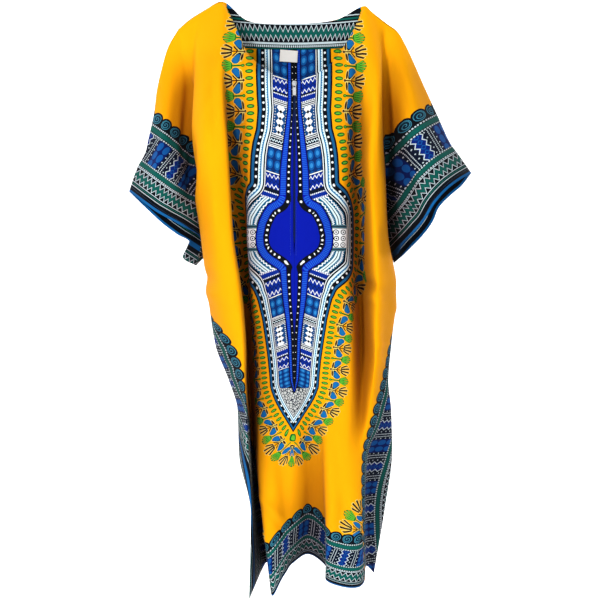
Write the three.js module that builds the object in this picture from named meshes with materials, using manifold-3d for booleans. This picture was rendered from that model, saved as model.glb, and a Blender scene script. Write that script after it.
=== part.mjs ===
// A kaftan of printed cotton, held up at the shoulders and hanging hollow in deep vertical folds.
// Millimetres. +Z is up, the front faces -Y and +X is the viewer's right. The origin lies midway
// between the two neck points of the shoulder seams, where the kaftan is held.
import * as THREE from "three";
import { mergeVertices } from "three/addons/utils/BufferGeometryUtils.js";
import Module from "manifold-3d";

const wasm = await Module();
wasm.setup();

// ---- sizes -----------------------------------------------------------------------------------

const CLOTH = 1.5;              // wall of the printed cotton
const SEAM_GAP = 0.3;           // between the edges that a seam joins
const STEPS_PER_FOLD = 3;       // columns of cloth from one fold line to the next
const STEPS_PER_SLEEVE = 12;    // columns from the body to the cuff
const ROWS_TO_HEM = 16;         // rows from the underarm to the hem
// Rows from the top edge to the underarm, as shares of that height.
const UPPER_ROWS = [0, 0.07, 0.14, 0.23, 0.33, 0.44, 0.55, 0.66, 0.77, 0.885, 1];
const UNDERARM_ROW = UPPER_ROWS.length - 1;
const ZIP_END_ROW = UNDERARM_ROW + 1;

// How far below the neck points each level of the fold tables lies.
const LEVELS = {
  chest: 145, bust: 295, underarm: 462, waist: 572, hip: 680, thigh: 752, knee: 810, calf: 898, shin: 1012,
};

// The fold lines of the front, from the left side seam to the right one. Each runs from the top
// edge to the hem. top and hem are [x, drop, ahead] and each level is [x, ahead]: x from the
// centre front, drop below the neck points, ahead in front of the shoulder seams.
const FRONT_FOLDS = [
  { line: "leftSeam", top: [-232, 50, 0], chest: [-216, 8], bust: [-181, -5], underarm: [-139, -38],
    waist: [-141, -42], hip: [-135, -45], thigh: [-115, -42], knee: [-102, -40], calf: [-101, -45],
    shin: [-78, -45], hem: [-76, 1140, -45] },
  { line: "leftEdge", top: [-211, 32, 0], chest: [-208, 28], bust: [-207, 45], underarm: [-186, 36],
    waist: [-173, 28], hip: [-157, 28], thigh: [-130, 30], knee: [-113, 28], calf: [-110, 28],
    shin: [-86, 42], hem: [-89, 1178, 50] },
  { line: "leftCrest", top: [-183, 14, 0], chest: [-174, 55], bust: [-168, 88], underarm: [-154, 92],
    waist: [-144, 92], hip: [-127, 88], thigh: [-108, 84], knee: [-99, 80], calf: [-99, 74],
    shin: [-85, 66], hem: [-87, 1175, 64] },
  { line: "leftLip", top: [-145, -5, 0], chest: [-141, 62], bust: [-124, 88], underarm: [-110, 98],
    waist: [-98, 103], hip: [-95, 105], thigh: [-94, 103], knee: [-92, 96], calf: [-89, 84],
    shin: [-83, 64], hem: [-81, 1162, 54] },
  { line: "leftPit", top: [-133, 14, 6], chest: [-130, 52], bust: [-121, 40], underarm: [-109, 15],
    waist: [-98, 2], hip: [-94, -12], thigh: [-91, -25], knee: [-88, -32], calf: [-85, -40],
    shin: [-70, -42], hem: [-56, 1123, -40] },
  { line: "leftShelf", top: [-112, 59, 20], chest: [-105, 54], bust: [-99, 52], underarm: [-94, 30],
    waist: [-89, 18], hip: [-87, 10], thigh: [-84, 2], knee: [-81, -5], calf: [-77, -12],
    shin: [-63, 0], hem: [-50, 1144, 20] },
  { line: "leftPanel", top: [-86, 112, 40], chest: [-81, 56], bust: [-75, 66], underarm: [-73, 61],
    waist: [-73, 59], hip: [-72, 58], thigh: [-71, 57], knee: [-70, 56], calf: [-69, 58],
    shin: [-60, 64], hem: [-42, 1169, 74] },
  { line: "centre", top: [0, 164, 58], bust: [0, 76], underarm: [0, 78], thigh: [0, 76],
    knee: [-1, 74], calf: [-5, 72], shin: [-14, 66], hem: [-18, 1129, 60] },
  { line: "dip", top: [27, 154, 57], bust: [27, 76], underarm: [27, 78], thigh: [27, 72],
    knee: [27, 66], calf: [27, 58], shin: [27, 38], hem: [26, 1097, 20] },
  { line: "lipWall", top: [45, 146, 54], bust: [46, 75], underarm: [46, 77], thigh: [46, 74],
    knee: [48, 70], calf: [52, 62], shin: [58, 48], hem: [61, 1119, 24] },
  { line: "midLip", top: [60, 137, 50], bust: [64, 72], underarm: [64, 74], thigh: [64, 74],
    knee: [64, 75], calf: [65, 77], shin: [65, 80], hem: [63, 1139, 80] },
  { line: "rightPanel", top: [101, 85, 28], chest: [100, 50], bust: [101, 60], underarm: [102, 62],
    waist: [106, 64], hip: [111, 68], thigh: [109, 72], knee: [106, 78], calf: [100, 86],
    shin: [98, 92], hem: [100, 1149, 95] },
  { line: "rightPit", top: [125, 38, 10], chest: [123, 44], bust: [126, 30], underarm: [129, 14],
    waist: [132, 10], hip: [133, 18], thigh: [133, 36], knee: [131, 52], calf: [124, 78],
    shin: [124, 86], hem: [124, 1150, 88] },
  { line: "rightCrest", top: [141, 4, 0], chest: [150, 54], bust: [149, 75], underarm: [155, 90],
    waist: [161, 88], hip: [157, 80], thigh: [153, 72], knee: [148, 68], calf: [134, 70],
    shin: [136, 68], hem: [137, 1144, 62] },
  { line: "rightStrip", top: [153, 14, 0], chest: [166, 50], bust: [163, 72], underarm: [170, 75],
    waist: [185, 60], hip: [180, 50], thigh: [173, 42], knee: [171, 38], calf: [150, 28],
    shin: [144, 12], hem: [144, 1123, 4] },
  { line: "rightEdge", top: [165, 24, 0], chest: [179, 35], bust: [175, 45], underarm: [185, 36],
    waist: [204, 14], hip: [193, 16], thigh: [187, 14], knee: [193, 8], calf: [196, -10],
    shin: [182, -20], hem: [160, 1141, -20] },
  { line: "rightSeam", top: [187, 41, 0], chest: [186, 20], bust: [185, 0], underarm: [179, -38],
    waist: [181, -42], hip: [179, -45], thigh: [175, -44], knee: [177, -44], calf: [178, -50],
    shin: [163, -50], hem: [147, 1121, -50] },
];

// The fold lines of the back, with the same columns. Below the underarm its side seams are the
// front's, so those two rows stop there.
const BACK_FOLDS = [
  { line: "leftSeam", top: [-232, 50, 0], chest: [-211, -22], bust: [-186, -42], underarm: [-139, -38] },
  { line: "leftEdge", top: [-211, 32, 0], chest: [-191, -34], bust: [-165, -62], underarm: [-126, -60],
    hip: [-118, -66], calf: [-88, -66], hem: [-64, 1123, -64] },
  { line: "leftFold", top: [-183, 14, 0], chest: [-168, -44], bust: [-143, -78], underarm: [-107, -86],
    hip: [-98, -90], calf: [-74, -88], hem: [-50, 1117, -86] },
  { line: "leftNeck", top: [-145, -5, 0], chest: [-127, -48], bust: [-104, -74], underarm: [-75, -78],
    hip: [-70, -76], calf: [-50, -74], hem: [-27, 1110, -72] },
  { line: "leftBack", top: [-95, 27, -32], chest: [-78, -58], bust: [-60, -84], underarm: [-43, -98],
    hip: [-38, -106], calf: [-24, -106], hem: [-3, 1108, -106] },
  { line: "centreBack", top: [-3, 30, -52], chest: [-1, -66], bust: [-1, -82], underarm: [1, -84],
    hip: [4, -84], calf: [11, -84], hem: [25, 1104, -84] },
  { line: "rightBack", top: [84, 25, -34], chest: [70, -58], bust: [54, -86], underarm: [44, -100],
    hip: [46, -108], calf: [48, -110], hem: [55, 1108, -110] },
  { line: "rightNeck", top: [141, 4, 0], chest: [121, -46], bust: [99, -74], underarm: [82, -80],
    hip: [84, -80], calf: [84, -80], hem: [82, 1109, -82] },
  { line: "rightFold", top: [153, 14, 0], chest: [149, -44], bust: [132, -76], underarm: [118, -92],
    hip: [122, -94], calf: [122, -94], hem: [106, 1115, -94] },
  { line: "rightEdge", top: [165, 24, 0], chest: [173, -34], bust: [162, -60], underarm: [152, -66],
    hip: [156, -70], calf: [157, -74], hem: [130, 1118, -74] },
  { line: "rightSeam", top: [187, 41, 0], chest: [188, -18], bust: [185, -38], underarm: [179, -38] },
];

// Sleeve edges, each point [x, drop, ahead]. overarm runs from the shoulder to the top of the
// cuff, and each cuff runs on from there to the underarm seam.
const SLEEVES = {
  left: {
    overarm: [[-232, 50, 0], [-252, 84, 0], [-266, 130, 0], [-276, 176, 0], [-281, 218, 0], [-292, 268, 0],
      [-299, 298, 0], [-315, 328, 0], [-331, 375, 0]],
    frontCuff: [[-331, 375, 0], [-296, 401, 26], [-266, 422, 34], [-224, 445, 30], [-186, 470, 12], [-198, 523, -12]],
    backCuff: [[-331, 375, 0], [-302, 405, -26], [-269, 436, -34], [-238, 459, -34], [-214, 474, -30],
      [-226, 506, -24], [-198, 523, -12]],
    puff: 22, puffStart: 2,
  },
  right: {
    overarm: [[187, 41, 0], [205, 54, 0], [223, 84, 0], [261, 168, 0], [287, 225, 0], [312, 279, 0],
      [326, 298, 0], [354, 338, 0]],
    frontCuff: [[354, 338, 0], [322, 358, 26], [298, 377, 34], [275, 403, 36], [258, 431, 34], [236, 459, 28],
      [214, 483, 16], [199, 518, -5]],
    backCuff: [[354, 338, 0], [338, 361, -24], [316, 380, -32], [294, 404, -36], [283, 430, -36],
      [264, 457, -34], [240, 482, -30], [219, 502, -20], [199, 518, -5]],
    puff: 26, puffStart: 7,
  },
};

// The facing covers the back's first rows of cloth, inside the neck.
const FACING = { wall: 1, rows: 2 };
const LABEL = { width: 36, height: 26, x: -11, drop: 93, wall: 0.8, gap: 0.45, across: 4, down: 3 };
const ZIP = { halfGap: 2, tapeWidth: 12, tapeWall: 0.8, tapeReveal: 0.2, clearance: 0.4 };
// seat is how far below the top of the zip the middle of the slider sits.
const SLIDER = {
  length: 10, plateWidth: 8, corner: 2.2, plate: 1.2, postWidth: 2.6, postLength: 6, seat: 3.5,
  bridgeWidth: 2, bridgeHeight: 3.4, bridgeHalf: 3.8, bridgeWall: 0.9, bridgeFoot: 0.3,
};
// play is the room below the pull's bar inside the bridge.
const PULL = {
  bar: 0.6, play: 0.3, armWidth: 1, armAt: 2.6, eyeLength: 6.7, tabWidth: 6.4, tabLength: 16.3, corner: 2,
  overlap: 0.4, wall: 1.1,
};

// ---- curves ----------------------------------------------------------------------------------

const at = ([x, drop, ahead]) => new THREE.Vector3(x, -ahead, -drop);

// Monotone cubic through (position, value) pairs, so a fold never overshoots its table.
function monotone(positions, values) {
  const last = positions.length - 1;
  const slopes = [];
  for (let k = 0; k < last; k++) {
    slopes.push((values[k + 1] - values[k]) / (positions[k + 1] - positions[k]));
  }
  const tangents = values.map((_, k) => {
    if (k === 0) return slopes[0];
    if (k === last) return slopes[last - 1];
    const before = slopes[k - 1];
    const after = slopes[k];
    return before * after <= 0 ? 0 : (2 * before * after) / (before + after);
  });
  return (position) => {
    const p = Math.min(Math.max(position, positions[0]), positions[last]);
    let k = 0;
    while (k < last - 1 && p > positions[k + 1]) k++;
    const width = positions[k + 1] - positions[k];
    const t = (p - positions[k]) / width;
    const fromStart = (1 + 2 * t) * (1 - t) ** 2 * values[k] + t * (1 - t) ** 2 * width * tangents[k];
    const fromEnd = t * t * (3 - 2 * t) * values[k + 1] - t * t * (1 - t) * width * tangents[k + 1];
    return fromStart + fromEnd;
  };
}

// One fold line: its point at a row, given the row's share of the way down.
function foldLine(fold) {
  const stations = [[fold.top[1], fold.top[0], fold.top[2]]];
  for (const [level, drop] of Object.entries(LEVELS)) {
    if (fold[level] && drop > fold.top[1] + 8) stations.push([drop, ...fold[level]]);
  }
  if (fold.hem) stations.push([fold.hem[1], fold.hem[0], fold.hem[2]]);
  const drops = stations.map((s) => s[0]);
  const x = monotone(drops, stations.map((s) => s[1]));
  const ahead = monotone(drops, stations.map((s) => s[2]));
  return (row) => {
    const drop = row <= UNDERARM_ROW
      ? THREE.MathUtils.lerp(fold.top[1], LEVELS.underarm, UPPER_ROWS[row])
      : THREE.MathUtils.lerp(LEVELS.underarm, fold.hem[1], (row - UNDERARM_ROW) / ROWS_TO_HEM);
    return new THREE.Vector3(x(drop), -ahead(drop), -drop);
  };
}

// An open curve sampled by its length.
function evenly(points, steps) {
  const curve = new THREE.CatmullRomCurve3(points.map(at), false, "centripetal");
  return Array.from({ length: steps + 1 }, (_, k) => curve.getPointAt(k / steps));
}

// ---- cloth -----------------------------------------------------------------------------------

// A sheet of quads that a panel is cut from. Named points are the ones that a seam joins.
class Cloth {
  constructor() {
    this.points = [];
    this.quads = [];
    this.seam = new Map();
  }

  add(point, seamName) {
    this.points.push(point);
    if (seamName) this.seam.set(seamName, this.points.length - 1);
    return this.points.length - 1;
  }

  // rows run down and columns run to the viewer's right on the front; turned flips the face.
  grid(rows, turned) {
    for (let i = 0; i + 1 < rows.length; i++) {
      for (let j = 0; j + 1 < rows[i].length; j++) {
        const quad = [rows[i][j], rows[i + 1][j], rows[i + 1][j + 1], rows[i][j + 1]];
        this.quads.push(turned ? quad.reverse() : quad);
      }
    }
  }

  triangles() {
    const length = (a, b) => this.points[a].distanceTo(this.points[b]);
    return this.quads.flatMap(([a, b, c, d]) => (length(a, c) <= length(b, d)
      ? [[a, b, c], [a, c, d]]
      : [[a, b, d], [b, c, d]]));
  }

  findNormals() {
    this.normals = this.points.map(() => new THREE.Vector3());
    const side = new THREE.Vector3();
    const other = new THREE.Vector3();
    for (const [a, b, c, d] of this.quads) {
      side.subVectors(this.points[c], this.points[a]);
      other.subVectors(this.points[d], this.points[b]);
      const normal = side.clone().cross(other);
      for (const corner of [a, b, c, d]) this.normals[corner].add(normal);
    }
    for (const normal of this.normals) normal.normalize();
  }

  // The point a distance along a row of points, moved inwards by a depth.
  inside(row, distance, depth) {
    let k = 0;
    let rest = distance;
    let step = this.points[row[0]].distanceTo(this.points[row[1]]);
    while (rest > step && k + 2 < row.length) {
      rest -= step;
      k++;
      step = this.points[row[k]].distanceTo(this.points[row[k + 1]]);
    }
    const point = this.points[row[k]].clone().lerp(this.points[row[k + 1]], rest / step);
    const normal = this.normals[row[k]].clone().lerp(this.normals[row[k + 1]], rest / step).normalize();
    return point.addScaledVector(normal, -depth);
  }

  // For each point, the middle of the quads around it.
  middles() {
    const sums = this.points.map(() => new THREE.Vector3());
    const counts = this.points.map(() => 0);
    for (const quad of this.quads) {
      for (const corner of quad) {
        for (const other of quad) sums[corner].add(this.points[other]);
        counts[corner] += quad.length;
      }
    }
    return sums.map((sum, k) => sum.divideScalar(counts[k]));
  }

  // A closed solid: the sheet outside, the same sheet moved in by the wall, and its edges.
  solid(wall) {
    const count = this.points.length;
    const inner = this.points.map((p, k) => p.clone().addScaledVector(this.normals[k], -wall));
    const faces = this.triangles();
    const edges = new Set(faces.flatMap(([a, b, c]) => [`${a},${b}`, `${b},${c}`, `${c},${a}`]));
    const index = [];
    for (const [a, b, c] of faces) {
      index.push(a, b, c, c + count, b + count, a + count);
    }
    for (const edge of edges) {
      const [a, b] = edge.split(",").map(Number);
      if (edges.has(`${b},${a}`)) continue;
      index.push(b, a, a + count, b, a + count, b + count);
    }
    const geometry = new THREE.BufferGeometry().setFromPoints([...this.points, ...inner]);
    geometry.setIndex(index);
    geometry.computeVertexNormals();
    return geometry;
  }
}

// The sheet between the side seams: a column for each step from fold line to fold line.
function torsoPoints(folds) {
  const lines = folds.map(foldLine);
  const steps = (folds.length - 1) * STEPS_PER_FOLD;
  const rows = [];
  for (let row = 0; row <= UNDERARM_ROW + ROWS_TO_HEM; row++) {
    const across = new THREE.CatmullRomCurve3(lines.map((line) => line(row)), false, "centripetal");
    rows.push(Array.from({ length: steps + 1 }, (_, k) => across.getPoint(k / steps)));
  }
  return rows;
}

// A sleeve layer between the body, the overarm seam, the cuff and the underarm seam.
function sleevePoints(body, sleeve, cuffPoints, puff) {
  const overarm = evenly(sleeve.overarm, STEPS_PER_SLEEVE);
  const cuff = evenly(cuffPoints, UNDERARM_ROW);
  const armpit = body[UNDERARM_ROW];
  const tip = cuff[UNDERARM_ROW];
  return body.map((start, i) => overarm.map((top, j) => {
    const down = i / UNDERARM_ROW;
    const out = j / STEPS_PER_SLEEVE;
    const under = armpit.clone().lerp(tip, out);
    const point = top.clone().lerp(under, down).add(start.clone().lerp(cuff[i], out));
    const corners = body[0].clone().lerp(overarm[STEPS_PER_SLEEVE], out).lerp(under, down);
    point.sub(corners);
    const spread = Math.sin(Math.PI * down) ** 0.7 * (1 - (1 - out) ** sleeve.puffStart);
    point.y -= puff * spread * Math.sin(Math.PI * Math.min(out, 0.5));
    return point;
  }));
}

function panel(folds, side) {
  const cloth = new Cloth();
  const isFront = side === "front";
  const torso = torsoPoints(folds);
  const last = torso[0].length - 1;
  const shoulder = 3 * STEPS_PER_FOLD;
  const rows = torso.map((points, i) => points.map((point, j) => {
    const onShoulder = i === 0 && (j <= shoulder || j >= last - shoulder);
    const onSide = i >= UNDERARM_ROW && (j === 0 || j === last);
    const hand = j < last / 2 ? "left" : "right";
    const column = hand === "left" ? j : last - j;
    const seam = onShoulder ? `${hand} shoulder ${column}` : onSide ? `${hand} side ${i}` : null;
    return cloth.add(point, seam);
  }));
  const centre = folds.findIndex((fold) => fold.line === "centre") * STEPS_PER_FOLD;
  cloth.rows = rows;
  cloth.centre = centre;
  if (isFront) {
    // The zip parts the front down to its end row.
    const rightEdge = rows.map((row, i) => {
      if (i >= ZIP_END_ROW) return row[centre];
      const other = cloth.points[row[centre]].clone();
      other.x += ZIP.halfGap;
      cloth.points[row[centre]].x -= ZIP.halfGap;
      return cloth.add(other);
    });
    cloth.rightEdge = rightEdge;
    cloth.grid(rows.map((row) => row.slice(0, centre + 1)), false);
    cloth.grid(rows.map((row, i) => [rightEdge[i], ...row.slice(centre + 1)]), false);
  } else {
    cloth.grid(rows, true);
  }
  for (const [hand, sleeve] of Object.entries(SLEEVES)) {
    const column = hand === "left" ? 0 : last;
    const body = rows.slice(0, UNDERARM_ROW + 1).map((row) => cloth.points[row[column]]);
    const points = sleevePoints(
      body, sleeve, isFront ? sleeve.frontCuff : sleeve.backCuff, isFront ? sleeve.puff : -sleeve.puff,
    );
    const sleeveRows = points.map((row, i) => row.map((point, j) => {
      if (j === 0) return rows[i][column];
      if (i === 0) return cloth.add(point, `${hand} overarm ${j}`);
      if (i === UNDERARM_ROW) return cloth.add(point, `${hand} underarm ${j}`);
      return cloth.add(point);
    }));
    cloth.grid(sleeveRows, isFront === (hand === "left"));
  }
  return cloth;
}

// Seam lines, each as the names of its points in order.
function seamLines() {
  const lines = [];
  const count = (from, to, name) => {
    const names = [];
    for (let k = from; k !== to + Math.sign(to - from); k += Math.sign(to - from)) names.push(name(k));
    return names;
  };
  for (const hand of ["left", "right"]) {
    lines.push([
      ...count(3 * STEPS_PER_FOLD, 0, (k) => `${hand} shoulder ${k}`),
      ...count(1, STEPS_PER_SLEEVE, (k) => `${hand} overarm ${k}`),
    ]);
    lines.push([
      ...count(STEPS_PER_SLEEVE, 1, (k) => `${hand} underarm ${k}`),
      ...count(UNDERARM_ROW, UNDERARM_ROW + ROWS_TO_HEM, (k) => `${hand} side ${k}`),
    ]);
  }
  return lines;
}

// Brings both panels' seam points together, then parts them by the seam gap with parallel edges.
function sew(front, back) {
  const frontMiddles = front.middles();
  const backMiddles = back.middles();
  for (const names of seamLines()) {
    const line = names.map((name) => front.points[front.seam.get(name)].clone());
    names.forEach((name, k) => {
      const f = front.seam.get(name);
      const b = back.seam.get(name);
      const along = line[Math.min(k + 1, names.length - 1)].clone().sub(line[Math.max(k - 1, 0)]);
      const outward = front.normals[f].clone().add(back.normals[b]);
      outward.addScaledVector(along.normalize(), -outward.dot(along)).normalize();
      const apart = along.cross(outward).normalize();
      if (apart.dot(frontMiddles[f].clone().sub(backMiddles[b])) < 0) apart.negate();
      front.points[f].copy(line[k]).addScaledVector(apart, SEAM_GAP / 2);
      back.points[b].copy(line[k]).addScaledVector(apart, -SEAM_GAP / 2);
      front.normals[f].copy(outward);
      back.normals[b].copy(outward);
    });
  }
}

const front = panel(FRONT_FOLDS, "front");
const back = panel(
  BACK_FOLDS.map((fold) => {
    const same = FRONT_FOLDS.find((other) => other.line === fold.line);
    const isSeam = fold.line === "leftSeam" || fold.line === "rightSeam";
    return isSeam ? { ...same, chest: fold.chest, bust: fold.bust } : fold;
  }),
  "back",
);
front.findNormals();
back.findNormals();
sew(front, back);

// ---- what is sewn on ---------------------------------------------------------------------------

// The facing inside the back neck: the back's own top rows, moved in.
function backNeckFacing() {
  const cloth = new Cloth();
  const shoulder = 3 * STEPS_PER_FOLD;
  const depth = CLOTH + SEAM_GAP;
  const rows = back.rows.slice(0, FACING.rows + 1).map((row) => row
    .slice(shoulder + 1, row.length - shoulder - 1)
    .map((k) => cloth.add(back.points[k].clone().addScaledVector(back.normals[k], -depth))));
  cloth.grid(rows, true);
  cloth.findNormals();
  return cloth.solid(FACING.wall);
}

// One tape of the zip, behind the front's edge from the neck to the zip's end.
function zipTape(hand) {
  const cloth = new Cloth();
  const sign = hand === "left" ? -1 : 1;
  const depth = CLOTH + ZIP.clearance;
  const rows = [];
  for (let i = 0; i <= ZIP_END_ROW; i++) {
    const edge = hand === "left" ? front.rows[i][front.centre] : front.rightEdge[i];
    const row = [1, 2, 3].map((k) => front.rows[i][front.centre + sign * k]);
    const across = [0, ZIP.tapeWidth / 2, ZIP.tapeWidth].map((w) => front.inside([edge, ...row], w, depth));
    across[0].x = sign * (ZIP.halfGap - ZIP.tapeReveal);
    const columns = across.map((point) => cloth.add(point));
    rows.push(hand === "left" ? columns.reverse() : columns);
  }
  cloth.grid(rows, false);
  cloth.findNormals();
  return cloth.solid(ZIP.tapeWall);
}

// The plain label: a small sheet that lies on whatever is behind it inside the back neck.
function neckLabel(behind) {
  const cloth = new Cloth();
  const ray = new THREE.Raycaster();
  const rows = [];
  for (let i = 0; i <= LABEL.down; i++) {
    const row = [];
    for (let j = 0; j <= LABEL.across; j++) {
      const x = LABEL.x + (j / LABEL.across - 0.5) * LABEL.width;
      const z = -LABEL.drop - (i / LABEL.down) * LABEL.height;
      ray.set(new THREE.Vector3(x, -CLOTH, z), new THREE.Vector3(0, 1, 0));
      const hit = ray.intersectObjects(behind, false)[0];
      row.push(cloth.add(hit.point.add(new THREE.Vector3(0, -LABEL.gap, 0))));
    }
    rows.push(row);
  }
  cloth.grid(rows, true);
  cloth.findNormals();
  return cloth.solid(LABEL.wall);
}

// ---- zip slider and pull -----------------------------------------------------------------------

function toManifold(geometry) {
  const bare = geometry.index ? geometry.clone() : geometry;
  bare.deleteAttribute("normal");
  bare.deleteAttribute("uv");
  const merged = mergeVertices(bare);
  return new wasm.Manifold(new wasm.Mesh({
    numProp: 3,
    vertProperties: merged.attributes.position.array,
    triVerts: Uint32Array.from(merged.index.array),
  }));
}

function toGeometry(manifold) {
  const mesh = manifold.getMesh();
  const geometry = new THREE.BufferGeometry();
  geometry.setAttribute("position", new THREE.BufferAttribute(mesh.vertProperties, 3));
  geometry.setIndex([...mesh.triVerts]);
  geometry.computeVertexNormals();
  return geometry;
}

const joined = (...geometries) => toGeometry(geometries.map(toManifold).reduce((a, b) => a.add(b)));

// A rounded outline drawn in X and Z, with its face at -Y and its wall towards +Y.
function roundedPlate(width, length, radius, wall) {
  const w = width / 2;
  const l = length / 2;
  const shape = new THREE.Shape();
  shape.absarc(w - radius, l - radius, radius, 0, Math.PI / 2);
  shape.absarc(radius - w, l - radius, radius, Math.PI / 2, Math.PI);
  shape.absarc(radius - w, radius - l, radius, Math.PI, 1.5 * Math.PI);
  shape.absarc(w - radius, radius - l, radius, 1.5 * Math.PI, 2 * Math.PI);
  const plate = new THREE.ExtrudeGeometry(shape, { depth: wall, bevelEnabled: false, curveSegments: 5 });
  return plate.rotateX(Math.PI / 2);
}

// The slider's plates, the post between them and the bridge that carries the pull. Its origin is
// on the cloth's face, midway along the slider.
function sliderGeometry() {
  const s = SLIDER;
  const behind = CLOTH + 2 * ZIP.clearance + ZIP.tapeWall;
  const frontPlate = roundedPlate(s.plateWidth, s.length, s.corner, s.plate).translate(0, -ZIP.clearance, 0);
  const backPlate = roundedPlate(s.plateWidth, s.length, s.corner, s.plate).translate(0, behind + s.plate, 0);
  const postDepth = behind + ZIP.clearance + s.plate;
  const post = new THREE.BoxGeometry(s.postWidth, postDepth, s.postLength);
  post.translate(0, postDepth / 2 - ZIP.clearance - s.plate / 2, 0);
  return joined(frontPlate, backPlate, post, bridgeGeometry().translate(0, -ZIP.clearance - s.plate, 0));
}

// The bridge: an arch drawn along Z and out of the plate, standing on the plate's face.
function bridgeGeometry() {
  const s = SLIDER;
  const arch = new THREE.Shape();
  const bow = (half, height) => {
    arch.lineTo(half, -height * 0.55);
    arch.quadraticCurveTo(half * 0.9, -height, 0, -height);
    arch.quadraticCurveTo(-half * 0.9, -height, -half, -height * 0.55);
    arch.lineTo(-half, s.bridgeFoot);
  };
  arch.moveTo(s.bridgeHalf, s.bridgeFoot);
  bow(s.bridgeHalf, s.bridgeHeight);
  arch.lineTo(s.bridgeWall - s.bridgeHalf, s.bridgeFoot);
  bow(s.bridgeWall - s.bridgeHalf, s.bridgeHeight - s.bridgeWall);
  arch.closePath();
  const bridge = new THREE.ExtrudeGeometry(arch, { depth: s.bridgeWidth, bevelEnabled: false, curveSegments: 4 });
  return bridge.translate(0, 0, -s.bridgeWidth / 2).rotateY(-Math.PI / 2);
}

// The pull: a bar through the bridge, two arms beside it and a flat tab below. Its origin is the
// bar's axis, about which it swings.
function pullGeometry() {
  const p = PULL;
  const bar = new THREE.CylinderGeometry(p.bar, p.bar, 2 * p.armAt + p.armWidth, 10).rotateZ(Math.PI / 2);
  const arms = [-1, 1].map((sign) => {
    const arm = new THREE.BoxGeometry(p.armWidth, p.wall, p.eyeLength + p.bar);
    return arm.translate(sign * p.armAt, 0, (p.bar - p.eyeLength) / 2);
  });
  const tab = roundedPlate(p.tabWidth, p.tabLength, p.corner, p.wall);
  tab.translate(0, p.wall / 2, p.overlap - p.eyeLength - p.tabLength / 2);
  return joined(bar, ...arms, tab);
}

// ---- the kaftan --------------------------------------------------------------------------------

const finishes = {
  cotton: { color: 0xf5a50a, roughness: 0.85, metalness: 0 },
  facing: { color: 0x1c5f8a, roughness: 0.85, metalness: 0 },
  label: { color: 0xf1eee6, roughness: 0.75, metalness: 0 },
  tape: { color: 0x1a5570, roughness: 0.8, metalness: 0 },
  metal: { color: 0xc9ccd0, roughness: 0.3, metalness: 1 },
};

const kaftan = new THREE.Group();

function addNode(name, geometry, finish, parent = kaftan) {
  const mesh = new THREE.Mesh(geometry, new THREE.MeshStandardMaterial(finishes[finish]));
  mesh.name = name;
  parent.add(mesh);
  return mesh;
}

addNode("front_panel", front.solid(CLOTH), "cotton");
const backPanel = addNode("back_panel", back.solid(CLOTH), "cotton");
const facing = addNode("back_neck_facing", backNeckFacing(), "facing");
addNode("neck_label", neckLabel([facing, backPanel]), "label");
addNode("zip_tape_left", zipTape("left"), "tape");
addNode("zip_tape_right", zipTape("right"), "tape");

// The slider sits at the top of the zip and leans with the cloth there.
const zipTop = front.points[front.rows[0][front.centre]];
const below = front.points[front.rows[1][front.centre]];
const lean = Math.atan2(zipTop.y - below.y, zipTop.z - below.z);
const zipHead = new THREE.Group();
zipHead.position.set(0, zipTop.y, zipTop.z);
zipHead.rotation.x = -lean;
kaftan.add(zipHead);
const slider = addNode("zip_slider", sliderGeometry(), "metal", zipHead);
slider.position.z = -SLIDER.seat;
const pull = addNode("zip_pull", pullGeometry(), "metal", zipHead);
const barAhead = ZIP.clearance + SLIDER.plate + PULL.bar + ZIP.clearance;
const barAboveFoot = SLIDER.bridgeWall + PULL.bar + PULL.play;
pull.position.set(0, -barAhead, barAboveFoot - SLIDER.seat - SLIDER.bridgeHalf);

export default kaftan;
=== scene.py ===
# A kaftan of printed cotton, hanging hollow from its shoulders in deep vertical folds.
# Lengths in the tables are millimetres, as the cloth was cut and pinned; meshes are in metres.
import math
import bpy
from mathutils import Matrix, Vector
import numpy as np


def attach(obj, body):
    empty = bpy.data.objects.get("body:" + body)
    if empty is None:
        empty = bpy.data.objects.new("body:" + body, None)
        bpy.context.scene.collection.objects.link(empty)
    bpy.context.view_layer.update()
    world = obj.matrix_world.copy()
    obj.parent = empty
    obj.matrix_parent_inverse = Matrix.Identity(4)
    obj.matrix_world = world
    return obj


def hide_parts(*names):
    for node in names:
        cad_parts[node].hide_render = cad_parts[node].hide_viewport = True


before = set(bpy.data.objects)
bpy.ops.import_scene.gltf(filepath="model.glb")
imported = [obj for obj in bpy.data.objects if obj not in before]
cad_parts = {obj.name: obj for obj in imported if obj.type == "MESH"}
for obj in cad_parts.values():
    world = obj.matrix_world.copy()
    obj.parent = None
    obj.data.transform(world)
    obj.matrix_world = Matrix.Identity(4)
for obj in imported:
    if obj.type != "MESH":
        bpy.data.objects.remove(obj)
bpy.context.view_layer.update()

# ---- the cut ------------------------------------------------------------------------------------

FOLD_STEPS = 11        # columns of cloth from one fold line to the next
SHOULDER = 3 * FOLD_STEPS    # columns from the side seam to where the neck begins
SLEEVE_STEPS = 44      # columns from the body to the cuff
ROW_STEPS = 7          # rows of cloth to each row of the cut
ROWS_TO_HEM = 16
ROW_SHARES = [0, 0.07, 0.14, 0.23, 0.33, 0.44, 0.55, 0.66, 0.77, 0.885, 1]
LEVELS = dict(chest=145, bust=295, underarm=462, waist=572, hip=680, thigh=752, knee=810, calf=898,
              shin=1012)
CLOTH = 0.6            # thickness of the cotton
SEAM_GAP = 0.3
ZIP_HALF_GAP = 2.0
CUFF_BEYOND = 200      # how far the cuff's line is drawn on past the cuff, to measure from
STITCH_LIFT = 0.1

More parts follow.
